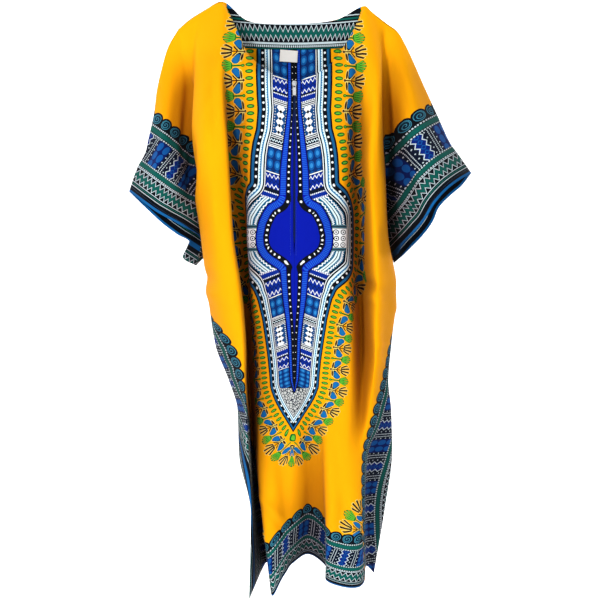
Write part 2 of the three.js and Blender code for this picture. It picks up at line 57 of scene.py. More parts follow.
# The fold lines, from the left side seam to the right one. top and hem are (x, drop, ahead) and
# each level is (x, ahead).
FRONT_FOLDS = [
    dict(line="leftSeam", top=(-232, 50, 0), chest=(-216, 8), bust=(-181, -5), underarm=(-139, -38),
        waist=(-141, -42), hip=(-135, -45), thigh=(-115, -42), knee=(-102, -40), calf=(-101, -45),
        shin=(-78, -45), hem=(-76, 1140, -45)),
    dict(line="leftEdge", top=(-211, 32, 0), chest=(-208, 28), bust=(-207, 45), underarm=(-186, 36),
        waist=(-173, 28), hip=(-157, 28), thigh=(-130, 30), knee=(-113, 28), calf=(-110, 28),
        shin=(-86, 42), hem=(-89, 1178, 50)),
    dict(line="leftCrest", top=(-183, 14, 0), chest=(-174, 55), bust=(-168, 88), underarm=(-154, 92),
        waist=(-144, 92), hip=(-127, 88), thigh=(-108, 84), knee=(-99, 80), calf=(-99, 74),
        shin=(-85, 66), hem=(-87, 1175, 64)),
    dict(line="leftLip", top=(-145, -5, 0), chest=(-144, 62), bust=(-132, 88), underarm=(-122, 98),
        waist=(-107, 103), hip=(-98, 105), thigh=(-96, 103), knee=(-93, 96), calf=(-89, 84),
        shin=(-83, 64), hem=(-81, 1162, 54)),
    dict(line="leftPit", top=(-133, 14, 6), chest=(-132, 52), bust=(-129, 40), underarm=(-121, 15),
        waist=(-106, 2), hip=(-97, -12), thigh=(-93, -25), knee=(-89, -32), calf=(-85, -40),
        shin=(-70, -42), hem=(-56, 1123, -40)),
    dict(line="leftShelf", top=(-112, 59, 20), chest=(-106, 54), bust=(-103, 51), underarm=(-95, 30),
        waist=(-91, 18), hip=(-87, 10), thigh=(-84, 2), knee=(-81, -5), calf=(-77, -12),
        shin=(-63, 0), hem=(-50, 1144, 20)),
    dict(line="leftPanel", top=(-86, 112, 40), chest=(-82, 56), bust=(-83, 65), underarm=(-90, 63),
        waist=(-82, 60), hip=(-73, 58), thigh=(-71, 57), knee=(-70, 56), calf=(-69, 58),
        shin=(-60, 64), hem=(-42, 1169, 74)),
    dict(line="centre", top=(0, 164, 58), bust=(0, 76), underarm=(0, 78), thigh=(0, 76),
        knee=(-1, 74), calf=(-5, 72), shin=(-14, 66), hem=(-18, 1129, 60)),
    dict(line="dip", top=(27, 154, 57), bust=(27, 76), underarm=(27, 78), thigh=(27, 72),
        knee=(27, 66), calf=(27, 58), shin=(27, 38), hem=(26, 1097, 20)),
    dict(line="lipWall", top=(45, 146, 54), bust=(46, 75), underarm=(46, 77), thigh=(46, 74),
        knee=(48, 70), calf=(52, 62), shin=(58, 48), hem=(61, 1119, 24)),
    dict(line="midLip", top=(60, 137, 50), bust=(64, 72), underarm=(64, 74), thigh=(64, 74),
        knee=(64, 75), calf=(65, 77), shin=(65, 80), hem=(63, 1139, 80)),
    dict(line="rightPanel", top=(101, 85, 28), chest=(100, 50), bust=(101, 60), underarm=(102, 62),
        waist=(106, 64), hip=(111, 68), thigh=(109, 72), knee=(106, 78), calf=(100, 86),
        shin=(98, 92), hem=(100, 1149, 95)),
    dict(line="rightPit", top=(125, 38, 10), chest=(123, 44), bust=(126, 30), underarm=(129, 14),
        waist=(132, 10), hip=(133, 18), thigh=(133, 36), knee=(131, 52), calf=(124, 78),
        shin=(124, 86), hem=(124, 1150, 88)),
    dict(line="rightCrest", top=(141, 4, 0), chest=(150, 54), bust=(149, 75), underarm=(155, 90),
        waist=(161, 88), hip=(157, 80), thigh=(153, 72), knee=(148, 68), calf=(134, 70),
        shin=(136, 68), hem=(137, 1144, 62)),
    dict(line="rightStrip", top=(153, 14, 0), chest=(166, 50), bust=(163, 72), underarm=(170, 75),
        waist=(185, 60), hip=(180, 50), thigh=(173, 42), knee=(171, 38), calf=(150, 28),
        shin=(144, 12), hem=(144, 1123, 4)),
    dict(line="rightEdge", top=(165, 24, 0), chest=(179, 35), bust=(175, 45), underarm=(185, 36),
        waist=(204, 14), hip=(193, 16), thigh=(187, 14), knee=(193, 8), calf=(196, -10),
        shin=(182, -20), hem=(160, 1141, -20)),
    dict(line="rightSeam", top=(187, 41, 0), chest=(186, 20), bust=(185, 0), underarm=(179, -38),
        waist=(181, -42), hip=(179, -45), thigh=(175, -44), knee=(177, -44), calf=(178, -50),
        shin=(163, -50), hem=(147, 1121, -50)),
]

BACK_FOLDS = [
    dict(line="leftSeam", top=(-232, 50, 0), chest=(-211, -22), bust=(-186, -42), underarm=(-139, -38)),
    dict(line="leftEdge", top=(-211, 32, 0), chest=(-191, -34), bust=(-165, -62), underarm=(-126, -60),
        hip=(-118, -66), calf=(-88, -66), hem=(-64, 1123, -64)),
    dict(line="leftFold", top=(-183, 14, 0), chest=(-168, -44), bust=(-143, -78), underarm=(-107, -86),
        hip=(-98, -90), calf=(-74, -88), hem=(-50, 1117, -86)),
    dict(line="leftNeck", top=(-145, -5, 0), chest=(-127, -48), bust=(-104, -74), underarm=(-75, -78),
        hip=(-70, -76), calf=(-50, -74), hem=(-27, 1110, -72)),
    dict(line="leftBack", top=(-95, 27, -32), chest=(-78, -58), bust=(-60, -84), underarm=(-43, -98),
        hip=(-38, -106), calf=(-24, -106), hem=(-3, 1108, -106)),
    dict(line="centreBack", top=(-3, 30, -52), chest=(-1, -66), bust=(-1, -82), underarm=(1, -84),
        hip=(4, -84), calf=(11, -84), hem=(25, 1104, -84)),
    dict(line="rightBack", top=(84, 25, -34), chest=(70, -58), bust=(54, -86), underarm=(44, -100),
        hip=(46, -108), calf=(48, -110), hem=(55, 1108, -110)),
    dict(line="rightNeck", top=(141, 4, 0), chest=(121, -46), bust=(99, -74), underarm=(82, -80),
        hip=(84, -80), calf=(84, -80), hem=(82, 1109, -82)),
    dict(line="rightFold", top=(153, 14, 0), chest=(149, -44), bust=(132, -76), underarm=(118, -92),
        hip=(122, -94), calf=(122, -94), hem=(106, 1115, -94)),
    dict(line="rightEdge", top=(165, 24, 0), chest=(173, -34), bust=(162, -60), underarm=(152, -66),
        hip=(156, -70), calf=(157, -74), hem=(130, 1118, -74)),
    dict(line="rightSeam", top=(187, 41, 0), chest=(188, -18), bust=(185, -38), underarm=(179, -38)),
]

# The edges of the sleeves, each point (x, drop, ahead).
SLEEVES = {
    "left": dict(
        overarm=[(-232, 50, 0), (-252, 84, 0), (-266, 130, 0), (-276, 176, 0), (-281, 218, 0),
                 (-292, 268, 0), (-299, 298, 0), (-315, 328, 0), (-331, 375, 0)],
        front_cuff=[(-331, 375, 0), (-296, 401, 26), (-266, 422, 34), (-224, 445, 30), (-186, 470, 12),
                    (-198, 523, -12)],
        back_cuff=[(-331, 375, 0), (-302, 405, -26), (-269, 436, -34), (-238, 459, -34),
                   (-214, 474, -30), (-226, 506, -24), (-198, 523, -12)],
        puff=22, puff_start=2),
    "right": dict(
        overarm=[(187, 41, 0), (205, 54, 0), (223, 84, 0), (261, 168, 0), (287, 225, 0), (312, 279, 0),
                 (326, 298, 0), (354, 338, 0)],
        front_cuff=[(354, 338, 0), (322, 358, 26), (298, 377, 34), (275, 403, 36), (258, 431, 34),
                    (236, 459, 28), (214, 483, 16), (199, 518, -5)],
        back_cuff=[(354, 338, 0), (338, 361, -24), (316, 380, -32), (294, 404, -36), (283, 430, -36),
                   (264, 457, -34), (240, 482, -30), (219, 502, -20), (199, 518, -5)],
        puff=26, puff_start=7),
}

# Creases laid in: where the middle of each lies, how far it runs, how it leans from
# upright, how wide it is and how far it stands out of the cloth (a trough is negative).
FRONT_CREASES = [
    # x, drop, run, lean in degrees, width, height
    (-211, 190, 330, -4, 9, -15),
    (-203, 330, 160, -3, 8, -9),
    (183, 180, 340, 1, 6, -9),
    (125, 190, 300, 1, 7, -8),
    (-232, 210, 210, -8, 16, -5.0),
    (-262, 300, 150, -14, 13, 4.0),
    (-214, 330, 170, -4, 12, -4.5),
    (-246, 400, 90, -40, 10, 3.5),
    (-205, 120, 120, -10, 12, 3.0),
    (-160, 210, 260, 3, 12, -3.6),
    (-150, 430, 300, 4, 11, 3.4),
    (-172, 548, 110, 80, 12, -5.0),
    (-150, 585, 120, 70, 12, 4.4),
    (-128, 700, 180, 12, 10, -4.0),
    (-45, 905, 220, 10, 12, 3.0),
    (-22, 960, 260, 4, 13, -5.6),
    (-40, 1005, 100, 48, 7, 4.4),
    (-30, 1032, 90, 42, 6, -4.2),
    (-46, 1068, 70, 40, 6, 3.6),
    (12, 1000, 200, -3, 12, 4.6),
    (-8, 1110, 80, 12, 9, -2.5),
    (72, 940, 260, 2, 12, 4.8),
    (90, 1030, 170, -5, 11, -4.6),
    (60, 620, 190, 1, 15, 2.2),
    (-35, 590, 200, 2, 18, -2.0),
    (36, 330, 220, -2, 20, -2.0),
    (-52, 250, 220, 3, 18, 1.8),
    (148, 200, 230, -4, 10, -3.2),
    (168, 420, 240, -3, 10, 3.4),
    (164, 566, 120, 78, 12, -4.6),
    (170, 690, 170, 6, 10, 4.0),
    (150, 720, 200, 3, 9, -4.4),
    (176, 596, 90, 64, 10, 4.0),
    (158, 800, 140, 4, 9, 2.0),
    (215, 170, 170, 18, 14, -4.5),
    (250, 260, 160, 22, 14, 4.0),
    (222, 330, 190, 8, 13, -5.0),
    (262, 370, 100, 38, 12, 4.0),
    (238, 420, 90, 30, 11, -3.5),
    (300, 330, 90, 40, 12, -3.0),
]
BACK_CREASES = [
    (-240, 230, 200, -8, 15, 4.5), (-222, 350, 170, -6, 14, -4.5), (-275, 340, 120, -20, 13, 3.5),
    (-150, 260, 260, 4, 14, -3.0), (-96, 420, 320, 3, 15, 3.0), (-60, 640, 330, -3, 16, -3.0),
    (-10, 300, 260, 1, 20, 2.6), (20, 560, 300, 4, 17, -2.8), (64, 380, 300, -2, 15, 3.0),
    (110, 600, 280, -4, 14, -3.0), (140, 300, 240, -3, 14, 3.0), (36, 860, 260, 5, 15, 3.4),
    (-30, 930, 240, -5, 14, -3.4), (90, 980, 200, 4, 13, -3.2), (-60, 560, 110, 72, 13, 2.6),
    (80, 700, 120, 76, 13, -2.6), (10, 1030, 120, 30, 10, 2.8), (240, 240, 190, 16, 15, -4.5),
    (228, 370, 160, 10, 13, 4.5), (290, 340, 100, 34, 12, -3.5), (120, 1020, 110, -28, 10, 2.6),
    (-2, 130, 120, 2, 14, -2.0), (-70, 150, 150, 8, 12, 2.4), (64, 170, 150, -8, 12, -2.4),
]

# Where the selvage border's scalloped edge runs down each side: the fold line, counted from that
# side's seam, and how far beyond the seam it would lie where the cut leaves it off.
SIDE_BORDER = {
    "front left": [(462, 0, 70), (596, 0, 14), (612, 0.8, 0), (630, 1.5, 0), (664, 2.1, 0), (695, 2.55, 0),
                   (728, 2.9, 0), (760, 3.1, 0), (900, 4.6, 0), (1100, 5.2, 0)],
    "front right": [(462, 0, 70), (575, 0.4, 0), (612, 0.75, 0), (630, 1.0, 0), (668, 1.45, 0),
                    (717, 1.9, 0), (765, 2.3, 0), (803, 2.7, 0), (842, 2.95, 0), (881, 3.2, 0),
                    (930, 3.45, 0), (1000, 3.45, 0), (1080, 3.2, 0), (1140, 2.9, 0)],
    **dict.fromkeys(("back left", "back right"),
                    [(462, 0, 70), (600, 0, 4), (700, 1.2, 0), (860, 2.4, 0), (1100, 3.2, 0)]),
}
SELVAGE = 156          # width of the border down a selvage
CUFF_STRETCH = 1.04    # how much wider the border lies on a cuff
# The neck's facing is a straight strip of the border: its place in the border at each drop.
FACING_DROP = [5, 18, 33, 67, 71, 76, 81.5]
FACING_AS_SELVAGE = [154, 142, 133.8, 108.2, 107.2, 105.2, 101]
# The hem's border is narrower: how far above the hem each part of the selvage border comes.
HEM_ABOVE = [0, 11, 31, 41, 72, 84, 104, 404]
HEM_AS_SELVAGE = [156, 134, 106, 92, 40, 24, 0, -360]

# The medallion's outline and that of the disc and spike inside it: half width at each drop.
MEDALLION = [(-60, 78), (124, 77), (194, 74.7), (219, 73), (257, 76), (282, 83), (307, 87), (333, 88.7),
             (362, 89.3), (377, 107), (399, 127), (418, 136), (455, 139), (493, 137), (530, 131),
             (543, 121), (557, 104), (572, 84), (592, 74), (629, 64.4), (668, 58.5), (709, 52.7),
             (740, 49.7), (762, 48.4), (783, 41), (797, 34), (811, 25.5), (827, 15), (839, 7), (850, 0)]
DISC = [(-60, 12), (163, 11.7), (201, 11.3), (221, 12.1), (260, 17), (299, 22), (338, 26.7), (387, 28.3),
        (397, 33), (407, 51), (420, 60), (440, 69.5), (467, 75), (489, 73.5), (506, 65), (518, 52),
        (528, 36), (535, 27), (563, 24.6), (592, 21.5), (631, 15.6), (670, 11.1), (709, 9.4), (748, 6.8),
        (771, 0)]
# The lines that the small leaves and the bulbs round the medallion are strung on.
LEAVES = [(-60, 96), (124, 95), (194, 93), (219, 91.5), (257, 94), (282, 100), (307, 104.5), (333, 107.5),
          (352, 112), (372, 126), (392, 142), (418, 154), (455, 157), (493, 155), (530, 148), (560, 130),
          (580, 107), (600, 94), (629, 83.5), (668, 77), (709, 71), (740, 68), (765, 65), (790, 55),
          (815, 39), (838, 24), (853, 11), (858, 0)]
RING = [(-60, 128), (124, 127), (194, 125), (257, 127), (307, 136), (345, 146), (390, 166), (430, 181),
        (460, 185), (493, 182), (530, 172), (565, 154), (600, 131), (640, 115), (700, 104), (745, 99),
        (780, 94), (810, 86), (840, 76), (870, 64), (895, 48), (913, 30), (925, 12), (928, 0)]
# Beside the disc a tuck left of the medallion takes up some of the cloth: the fold line that it
# lies at, the half width that it starts from and the most that it takes up.
TUCK_LINE, TUCK_FROM, TUCK = 5.8, 115, 19
# The ring of flowers lies closer to the medallion than it is drawn, most so in its lower half.
RING_DRAWN = [520, 640, 845, 890], [1.14, 1.4, 1.4, 1.15]
# The medallion's outer bands get narrower below the disc: their share of the width above it.
BANDS = [540, 575, 620, 800], [1, 0.74, 0.62, 0.54]
# Down the medallion its panels are told by their distance from the disc's middle; the lower half
# is the upper one again, squeezed.
DISC_MIDDLE = 471
LOWER_HALF = [0, 19, 26, 48, 58, 64, 97, 140, 158, 199, 224, 246, 285, 400]
UPPER_HALF = [0, 19, 26, 61, 74, 82, 111, 164, 191, 250, 277, 304, 400, 560]

# ---- curves -------------------------------------------------------------------------------------


def monotone(positions, values):
    """A monotone cubic through the table, so that a fold never overshoots it."""
    pos, val = np.array(positions, float), np.array(values, float)
    slopes = np.diff(val) / np.diff(pos)
    before, after = slopes[:-1], slopes[1:]
    same = before * after > 0
    middle = np.where(same, 2 * before * after / np.where(same, before + after, 1), 0)
    tangents = np.concatenate([slopes[:1], middle, slopes[-1:]])

    def curve(position):
        p = np.clip(position, pos[0], pos[-1])
        k = np.clip(np.searchsorted(pos, p, side="left") - 1, 0, len(slopes) - 1)
        width = pos[k + 1] - pos[k]
        t = (p - pos[k]) / width
        start = (1 + 2 * t) * (1 - t) ** 2 * val[k] + t * (1 - t) ** 2 * width * tangents[k]
        return start + t * t * (3 - 2 * t) * val[k + 1] - t * t * (1 - t) * width * tangents[k + 1]
    return curve


def through(points, steps):
    """A centripetal curve through each row of points, with that many steps between two points."""
    first = 2 * points[:, :1] - points[:, 1:2]
    last = 2 * points[:, -1:] - points[:, -2:-1]
    p = np.concatenate([first, points, last], axis=1)
    gaps = np.sqrt(np.linalg.norm(np.diff(p, axis=1), axis=2))[..., None]
    p0, p1, p2, p3 = p[:, :-3], p[:, 1:-2], p[:, 2:-1], p[:, 3:]
    d1 = np.where(gaps[:, 1:-1] < 1e-4, 1, gaps[:, 1:-1])
    d0 = np.where(gaps[:, :-2] < 1e-4, d1, gaps[:, :-2])
    d2 = np.where(gaps[:, 2:] < 1e-4, d1, gaps[:, 2:])
    leave = ((p1 - p0) / d0 - (p2 - p0) / (d0 + d1) + (p2 - p1) / d1) * d1
    arrive = ((p2 - p1) / d1 - (p3 - p1) / (d1 + d2) + (p3 - p2) / d2) * d1
    t = (np.arange(steps) / steps)[None, None, :, None]
    p1, p2, leave, arrive = (a[:, :, None] for a in (p1, p2, leave, arrive))
    curve = (p1 + leave * t + (3 * (p2 - p1) - 2 * leave - arrive) * t ** 2
             + (2 * (p1 - p2) + leave + arrive) * t ** 3)
    curve = curve.reshape(len(points), -1, 3)
    return np.concatenate([curve, points[:, -1:]], axis=1)


def at(points):
    """Table points (x, drop, ahead) as places."""
    x, drop, ahead = np.array(points, float).T
    return np.stack([x, -ahead, -drop], axis=1)


def run_along(points):
    """How far along a line each of its points lies."""
    return np.concatenate([[0], np.cumsum(np.linalg.norm(np.diff(points, axis=0), axis=1))])


def evenly(points, steps):
    curve = through(at(points)[None], 200)[0]
    run = run_along(curve)
    places = np.linspace(0, run[-1], steps + 1)
    return np.stack([np.interp(places, run, curve[:, k]) for k in range(3)], axis=1)


def smooth(x):
    x = np.clip(x, 0, 1)
    return x * x * (3 - 2 * x)


def unit(vectors):
    return vectors / np.linalg.norm(vectors, axis=-1)[..., None]


def gathered(faces, values, count):
    """The sum at each point of the values of its faces."""
    total = np.zeros((count, *values.shape[1:]))
    for k in range(faces.shape[1]):
        np.add.at(total, faces[:, k], values)
    return total


def evened(values, faces):
    """At each point the mean of its faces' middles."""
    total = gathered(faces, values[faces].mean(axis=1), len(values))
    shared = gathered(faces, np.ones(len(faces)), len(values))
    return total / shared.reshape(-1, *[1] * (values.ndim - 1))


def point_normals(places, faces):
    p = places[faces]
    face = np.cross(p[:, 2] - p[:, 0], p[:, 3] - p[:, 1])
    return unit(gathered(faces, face, len(places)))


def into_scene(name, data):
    made = bpy.data.objects.new(name, data)
    bpy.context.scene.collection.objects.link(made)
    return made


# ---- cloth --------------------------------------------------------------------------------------

UPPER = (len(ROW_SHARES) - 1) * ROW_STEPS       # the underarm's row
ROWS = UPPER + ROWS_TO_HEM * ROW_STEPS          # the hem's row
ZIP_END = UPPER + ROW_STEPS


def torso(folds):
    """The sheet between the side seams, a row of points for each row of cloth."""
    share = monotone(range(len(ROW_SHARES)), ROW_SHARES)(np.arange(UPPER + 1) / ROW_STEPS)
    down = np.arange(1, ROWS - UPPER + 1) / (ROWS - UPPER)
    lines = []
    for fold in folds:
        top, hem = fold["top"], fold.get("hem")
        stations = [(top[1], top[0], top[2])]
        stations += [(drop, *fold[level]) for level, drop in LEVELS.items()
                     if level in fold and drop > top[1] + 8]
        if hem:
            stations.append((hem[1], hem[0], hem[2]))
        drops, xs, aheads = zip(*stations)
        drop = np.concatenate([top[1] + (LEVELS["underarm"] - top[1]) * share,
                               LEVELS["underarm"] + (hem[1] - LEVELS["underarm"]) * down])
        lines.append(np.stack([monotone(drops, xs)(drop), -monotone(drops, aheads)(drop), -drop], axis=1))
    return through(np.stack(lines, axis=1), FOLD_STEPS)


def sleeve(body, hand, side):
    """A sleeve layer between the body, the overarm seam, the cuff and the underarm seam."""
    cut = SLEEVES[hand]
    overarm = evenly(cut["overarm"], SLEEVE_STEPS)[None]
    cuff = evenly(cut[side + "_cuff"], UPPER)[:, None]
    out = np.linspace(0, 1, SLEEVE_STEPS + 1)[None, :, None]
    down = np.linspace(0, 1, UPPER + 1)[:, None, None]
    start = body[:, None]
    under = start[-1:] * (1 - out) + cuff[-1:] * out
    sheet = overarm * (1 - down) + under * down + start * (1 - out) + cuff * out
    sheet = sheet - ((start[:1] * (1 - out) + overarm[:, -1:] * out) * (1 - down) + under * down)
    spread = np.sin(math.pi * down) ** 0.7 * (1 - (1 - out) ** cut["puff_start"])
    puff = cut["puff"] * spread * np.sin(math.pi * np.minimum(out, 0.5))
    sheet[..., 1:2] -= puff if side == "front" else -puff
    return sheet


def creased(points, normals, creases, edge):
    """The points moved along their normals by the creases, fading out towards the cloth's edges."""
    x, drop = points[:, 0], -points[:, 2]
    move = np.zeros(len(points))
    for cx, cdrop, run, lean, width, height in creases:
        a = math.radians(lean)
        along = (drop - cdrop) * math.cos(a) + (x - cx) * math.sin(a)
        across = (x - cx) * math.cos(a) - (drop - cdrop) * math.sin(a)
        across = across + 0.12 * width * np.sin(along / run * 5 + cx)
        taper = smooth(1.15 - np.abs(along) / (run / 2)) * (1 - 0.35 * np.sin(along / run * 3 + cdrop))
        move += height * taper * np.exp(-(across / width) ** 2)
    return points + normals * (move * edge)[:, None]


def open_to_light(places, way):
    """How much of the room ahead each point of a panel sees over the folds beside it."""
    x, ahead, drop = places[:, 0], places[:, 1] * way, -places[:, 2]
    light = np.ones(len(places))
    for top in np.arange(drop.min(), drop.max(), 8.0):
        band = np.flatnonzero((drop >= top - 4) & (drop < top + 12))
        here = np.flatnonzero((drop[band] >= top) & (drop[band] < top + 8))
        if not len(here):
            continue
        mine = band[here]
        side = x[band][None] - x[mine][:, None]
        rise = ahead[band][None] - ahead[mine][:, None]
        steep = np.where(np.abs(side) > 2.5, rise / (np.abs(side) + 3), 0)
        left = np.where(side < 0, steep, 0).max(axis=1).clip(0)
        right = np.where(side > 0, steep, 0).max(axis=1).clip(0)
        light[mine] = 1 - 0.5 * (np.sin(np.arctan(left)) + np.sin(np.arctan(right)))
    return light


def half_width(table, drop):
    drops, halves = zip(*table)
    return np.interp(drop, drops, halves)


def outline(table, soften=0):
    """An outline as close points (half width, drop), softened over that distance."""
    points = np.array([(h, d) for d, h in table], float)
    run = run_along(points)
    places = np.arange(0, run[-1], 4.0)
    line = np.stack([np.interp(places, run, points[:, k]) for k in range(2)], axis=1)
    if soften:
        whole = np.concatenate([line, line[::-1] * (-1, 1)])
        reach = np.arange(-int(3 * soften / 4), int(3 * soften / 4) + 1)
        weights = np.exp(-(reach * 4 / soften) ** 2 / 2)
        weights /= weights.sum()
        padded = np.pad(whole, ((len(reach) // 2,) * 2, (0, 0)), mode="edge")
        whole = np.stack([np.convolve(padded[:, k], weights, "valid") for k in range(2)], axis=1)
        line = whole[:len(line)]
    return line


def nearest(line, across, drop):
    """For each place, its distance from a line and how far along the line that is."""
    run = run_along(line)
    a, step = line[:-1], np.diff(line, axis=0)
    size = (step ** 2).sum(axis=1)
    distance, along = [], []
    for chunk in np.array_split(np.stack([across, drop], axis=1), 40):
        t = ((chunk[:, None] - a) * step).sum(axis=2) / size
        t = np.clip(t, 0, 1)
        gap = np.linalg.norm(chunk[:, None] - (a + t[..., None] * step), axis=2)
        k = gap.argmin(axis=1)
        row = np.arange(len(chunk))
        distance.append(gap[row, k])
        along.append(run[k] + t[row, k] * np.sqrt(size[k]))
    return np.concatenate(distance), np.concatenate(along)


def cuff_border(sheet, hand, side):
    """On a sleeve the border keeps to the cuff's line: how deep into it each point lies, and how
    far along it."""
    straight = SLEEVES[hand][side + "_cuff"][:-1 if side == "front" else -2]
    cuff_line = through(at(straight)[None], 20)[0][:, ::2]
    before, after = cuff_line[0] - cuff_line[30], cuff_line[-1] - cuff_line[-30]
    cuff_line = np.vstack([cuff_line[0] + unit(before) * CUFF_BEYOND, cuff_line,
                           cuff_line[-1] + unit(after) * CUFF_BEYOND])
    to_cuff, down = (f.reshape(sheet.shape[:2]) for f in nearest(cuff_line, *sheet.reshape(-1, 3).T[::2]))
    return SELVAGE - to_cuff / CUFF_STRETCH, down


def held_on(edge):
    """The values down a sleeve's edge, and the last of them again in every row of the body below."""
    return np.append(edge, np.full(ROWS - UPPER, edge[UPPER]))[:, None]


class Panel:
    """The front or the back with both its sleeves: places, print coordinates and quads."""

    def __init__(self, folds, side):
        self.side = side
        rows = torso(folds)
        columns = rows.shape[1]
        self.columns = dict(left=0, right=columns - 1)
        self.centre = next(k for k, f in enumerate(folds) if f["line"].startswith("centre")) * FOLD_STEPS
        self.index = np.arange((ROWS + 1) * columns).reshape(ROWS + 1, columns)
        steps = np.hypot(*np.diff(rows, axis=1)[..., :2].transpose(2, 0, 1))
        flat = np.concatenate([np.zeros((ROWS + 1, 1)), np.cumsum(steps, axis=1)], axis=1)
        flat -= flat[:, self.centre:self.centre + 1]
        drop = -rows[..., 2]
        if side == "front":
            tucked = np.clip((half_width(MEDALLION, drop) - TUCK_FROM) * 0.8, 0, TUCK)
            flat -= tucked * smooth((TUCK_LINE * FOLD_STEPS - np.arange(columns)) / 7)
        selvage, along = np.zeros_like(flat), drop.copy()
        sleeves = {}
        for hand, column in self.columns.items():
            sheet = sleeve(rows[:UPPER + 1, column], hand, side)
            sleeves[hand] = sheet, *cuff_border(sheet, hand, side)
            near = slice(0, columns // 2) if hand == "left" else slice(columns // 2, columns)
            selvage[:, near], along[:, near] = self.border_beside(hand, near, flat, drop, *sleeves[hand][1:])
        hem = np.interp(drop[-1:] - drop, HEM_ABOVE, HEM_AS_SELVAGE)
        self.places, self.faces = [rows.reshape(-1, 3)], []
        self.facts = [[f.ravel()] for f in (flat, drop, selvage, along, hem)]
        if side == "front":
            self.part_at_zip()
        else:
            self.faces.append(self.quads(self.index)[:, ::-1])
        self.sleeve_index = {}
        for hand, (sheet, depth, down) in sleeves.items():
            self.add_sleeve(hand, sheet, depth, down, flat)
        self.places, self.faces = np.concatenate(self.places), np.concatenate(self.faces)
        self.flat, self.drop, self.selvage, self.along, self.hem = map(np.concatenate, self.facts)
        self.normals = point_normals(self.places, self.faces)

    def border_beside(self, hand, near, flat, drop, depth, down):
        """How deep into the border the cloth beside one edge of the body lies, and how far along."""
        column = self.columns[hand]
        # above the underarm the border goes on from the sleeve into the body
        inwards = np.abs(flat[:, column:column + 1] - flat[:, near])
        upper = held_on(depth[:, 0]) - 2.5 * inwards
        turn = smooth((np.arange(ROWS + 1) - UPPER + 4) / 16)[:, None]
        along = held_on(down[:, 0]) * (1 - turn) + drop[:, near] * turn
        seen = []
        for at_drop, fold, beyond in SIDE_BORDER[f"{self.side} {hand}"]:
            c = int(round(fold * FOLD_STEPS))
            c = c if hand == "left" else column - c
            seen.append((at_drop, abs(np.interp(at_drop, drop[:, c], flat[:, c])) + beyond))
        lower = np.abs(flat[:, near]) - monotone(*zip(*seen))(drop[:, near])
        if (self.side, hand) == ("front", "left"):
            # seen aslant here, the scallops lie wider on the cloth
            wide = np.minimum(lower, 44) * 0.28
            lower = np.where(lower > 0, lower - wide * smooth((820 - drop[:, near]) / 80), lower)
        share = smooth((drop[:, near] - LEVELS["underarm"] + 10) / 70)
        share[:UPPER] *= 0
        return upper * (1 - share) + lower * share, along

    def part_at_zip(self):
        """The zip parts the front: its right edge gets points of its own."""
        centre, count = self.centre, self.index.size
        gap = ZIP_HALF_GAP * np.clip((ZIP_END - np.arange(ZIP_END)) / ROW_STEPS, 0, 1)
        right = self.index[:ZIP_END, centre]
        extra = self.places[0][right].copy()
        extra[:, 0] += gap
        self.places[0][right, 0] -= gap
        self.places.append(extra)
        for f in self.facts:
            f.append(f[0][right])
        self.right_edge = np.append(np.arange(count, count + ZIP_END), self.index[ZIP_END:, centre])
        self.faces += [self.quads(self.index[:, :centre + 1]),
                       self.quads(np.column_stack([self.right_edge, self.index[:, centre + 1:]]))]

    def add_sleeve(self, hand, sheet, depth, down, flat):
        column, count = self.columns[hand], sum(map(len, self.places))
        grid = np.zeros((UPPER + 1, SLEEVE_STEPS + 1), int)
        grid[:, 0] = self.index[:UPPER + 1, column]
        grid[:, 1:] = count + np.arange((UPPER + 1) * SLEEVE_STEPS).reshape(UPPER + 1, -1)
        self.places.append(sheet[:, 1:].reshape(-1, 3))
        run = np.stack([run_along(row) for row in sheet])
        across = flat[:UPPER + 1, column:column + 1] + (-run if hand == "left" else run)
        new = [across, -sheet[..., 2], depth, down, np.full_like(down, -900.0)]
        for f, values in zip(self.facts, new):
            f.append(values[:, 1:].ravel())
        outward = self.quads(grid)
        turned = (self.side == "front") == (hand == "left")
        self.faces.append(outward[:, ::-1] if turned else outward)
        self.sleeve_index[hand] = grid

    @staticmethod
    def quads(grid):
        a, b, c, d = grid[:-1, :-1], grid[1:, :-1], grid[1:, 1:], grid[:-1, 1:]
        return np.stack([a, b, c, d], axis=-1).reshape(-1, 4)

    def seam(self, hand):
        """The seam lines of one hand: shoulder and overarm, then underarm and side."""
        column = self.columns[hand]
        shoulder = self.index[0, SHOULDER::-1] if hand == "left" else self.index[0, column - SHOULDER:]
        grid = self.sleeve_index[hand]
        upper = np.concatenate([shoulder, grid[0, 1:]])
        lower = np.concatenate([grid[-1, :0:-1], self.index[UPPER:, column]])
        return [upper, lower]


def sew(front, back):
    """Brings both panels' seams together, then parts them by the seam's gap."""
    middles = [evened(panel.places, panel.faces) for panel in (front, back)]
    for hand in ("left", "right"):
        for f, b in zip(front.seam(hand), back.seam(hand)):
            line = front.places[f].copy()
            ahead = unit(np.vstack([line[1:], line[-1:]]) - np.vstack([line[:1], line[:-1]]))
            outward = front.normals[f] + back.normals[b]
            outward = unit(outward - ahead * (outward * ahead).sum(axis=1)[:, None])
            apart = np.cross(ahead, outward)
            way = ((middles[0][f] - middles[1][b]) * apart).sum(axis=1)
            apart *= np.where(way < 0, -1, 1)[:, None]
            front.places[f] = line + apart * SEAM_GAP / 2
            back.places[b] = line - apart * SEAM_GAP / 2
            front.normals[f] = back.normals[b] = outward


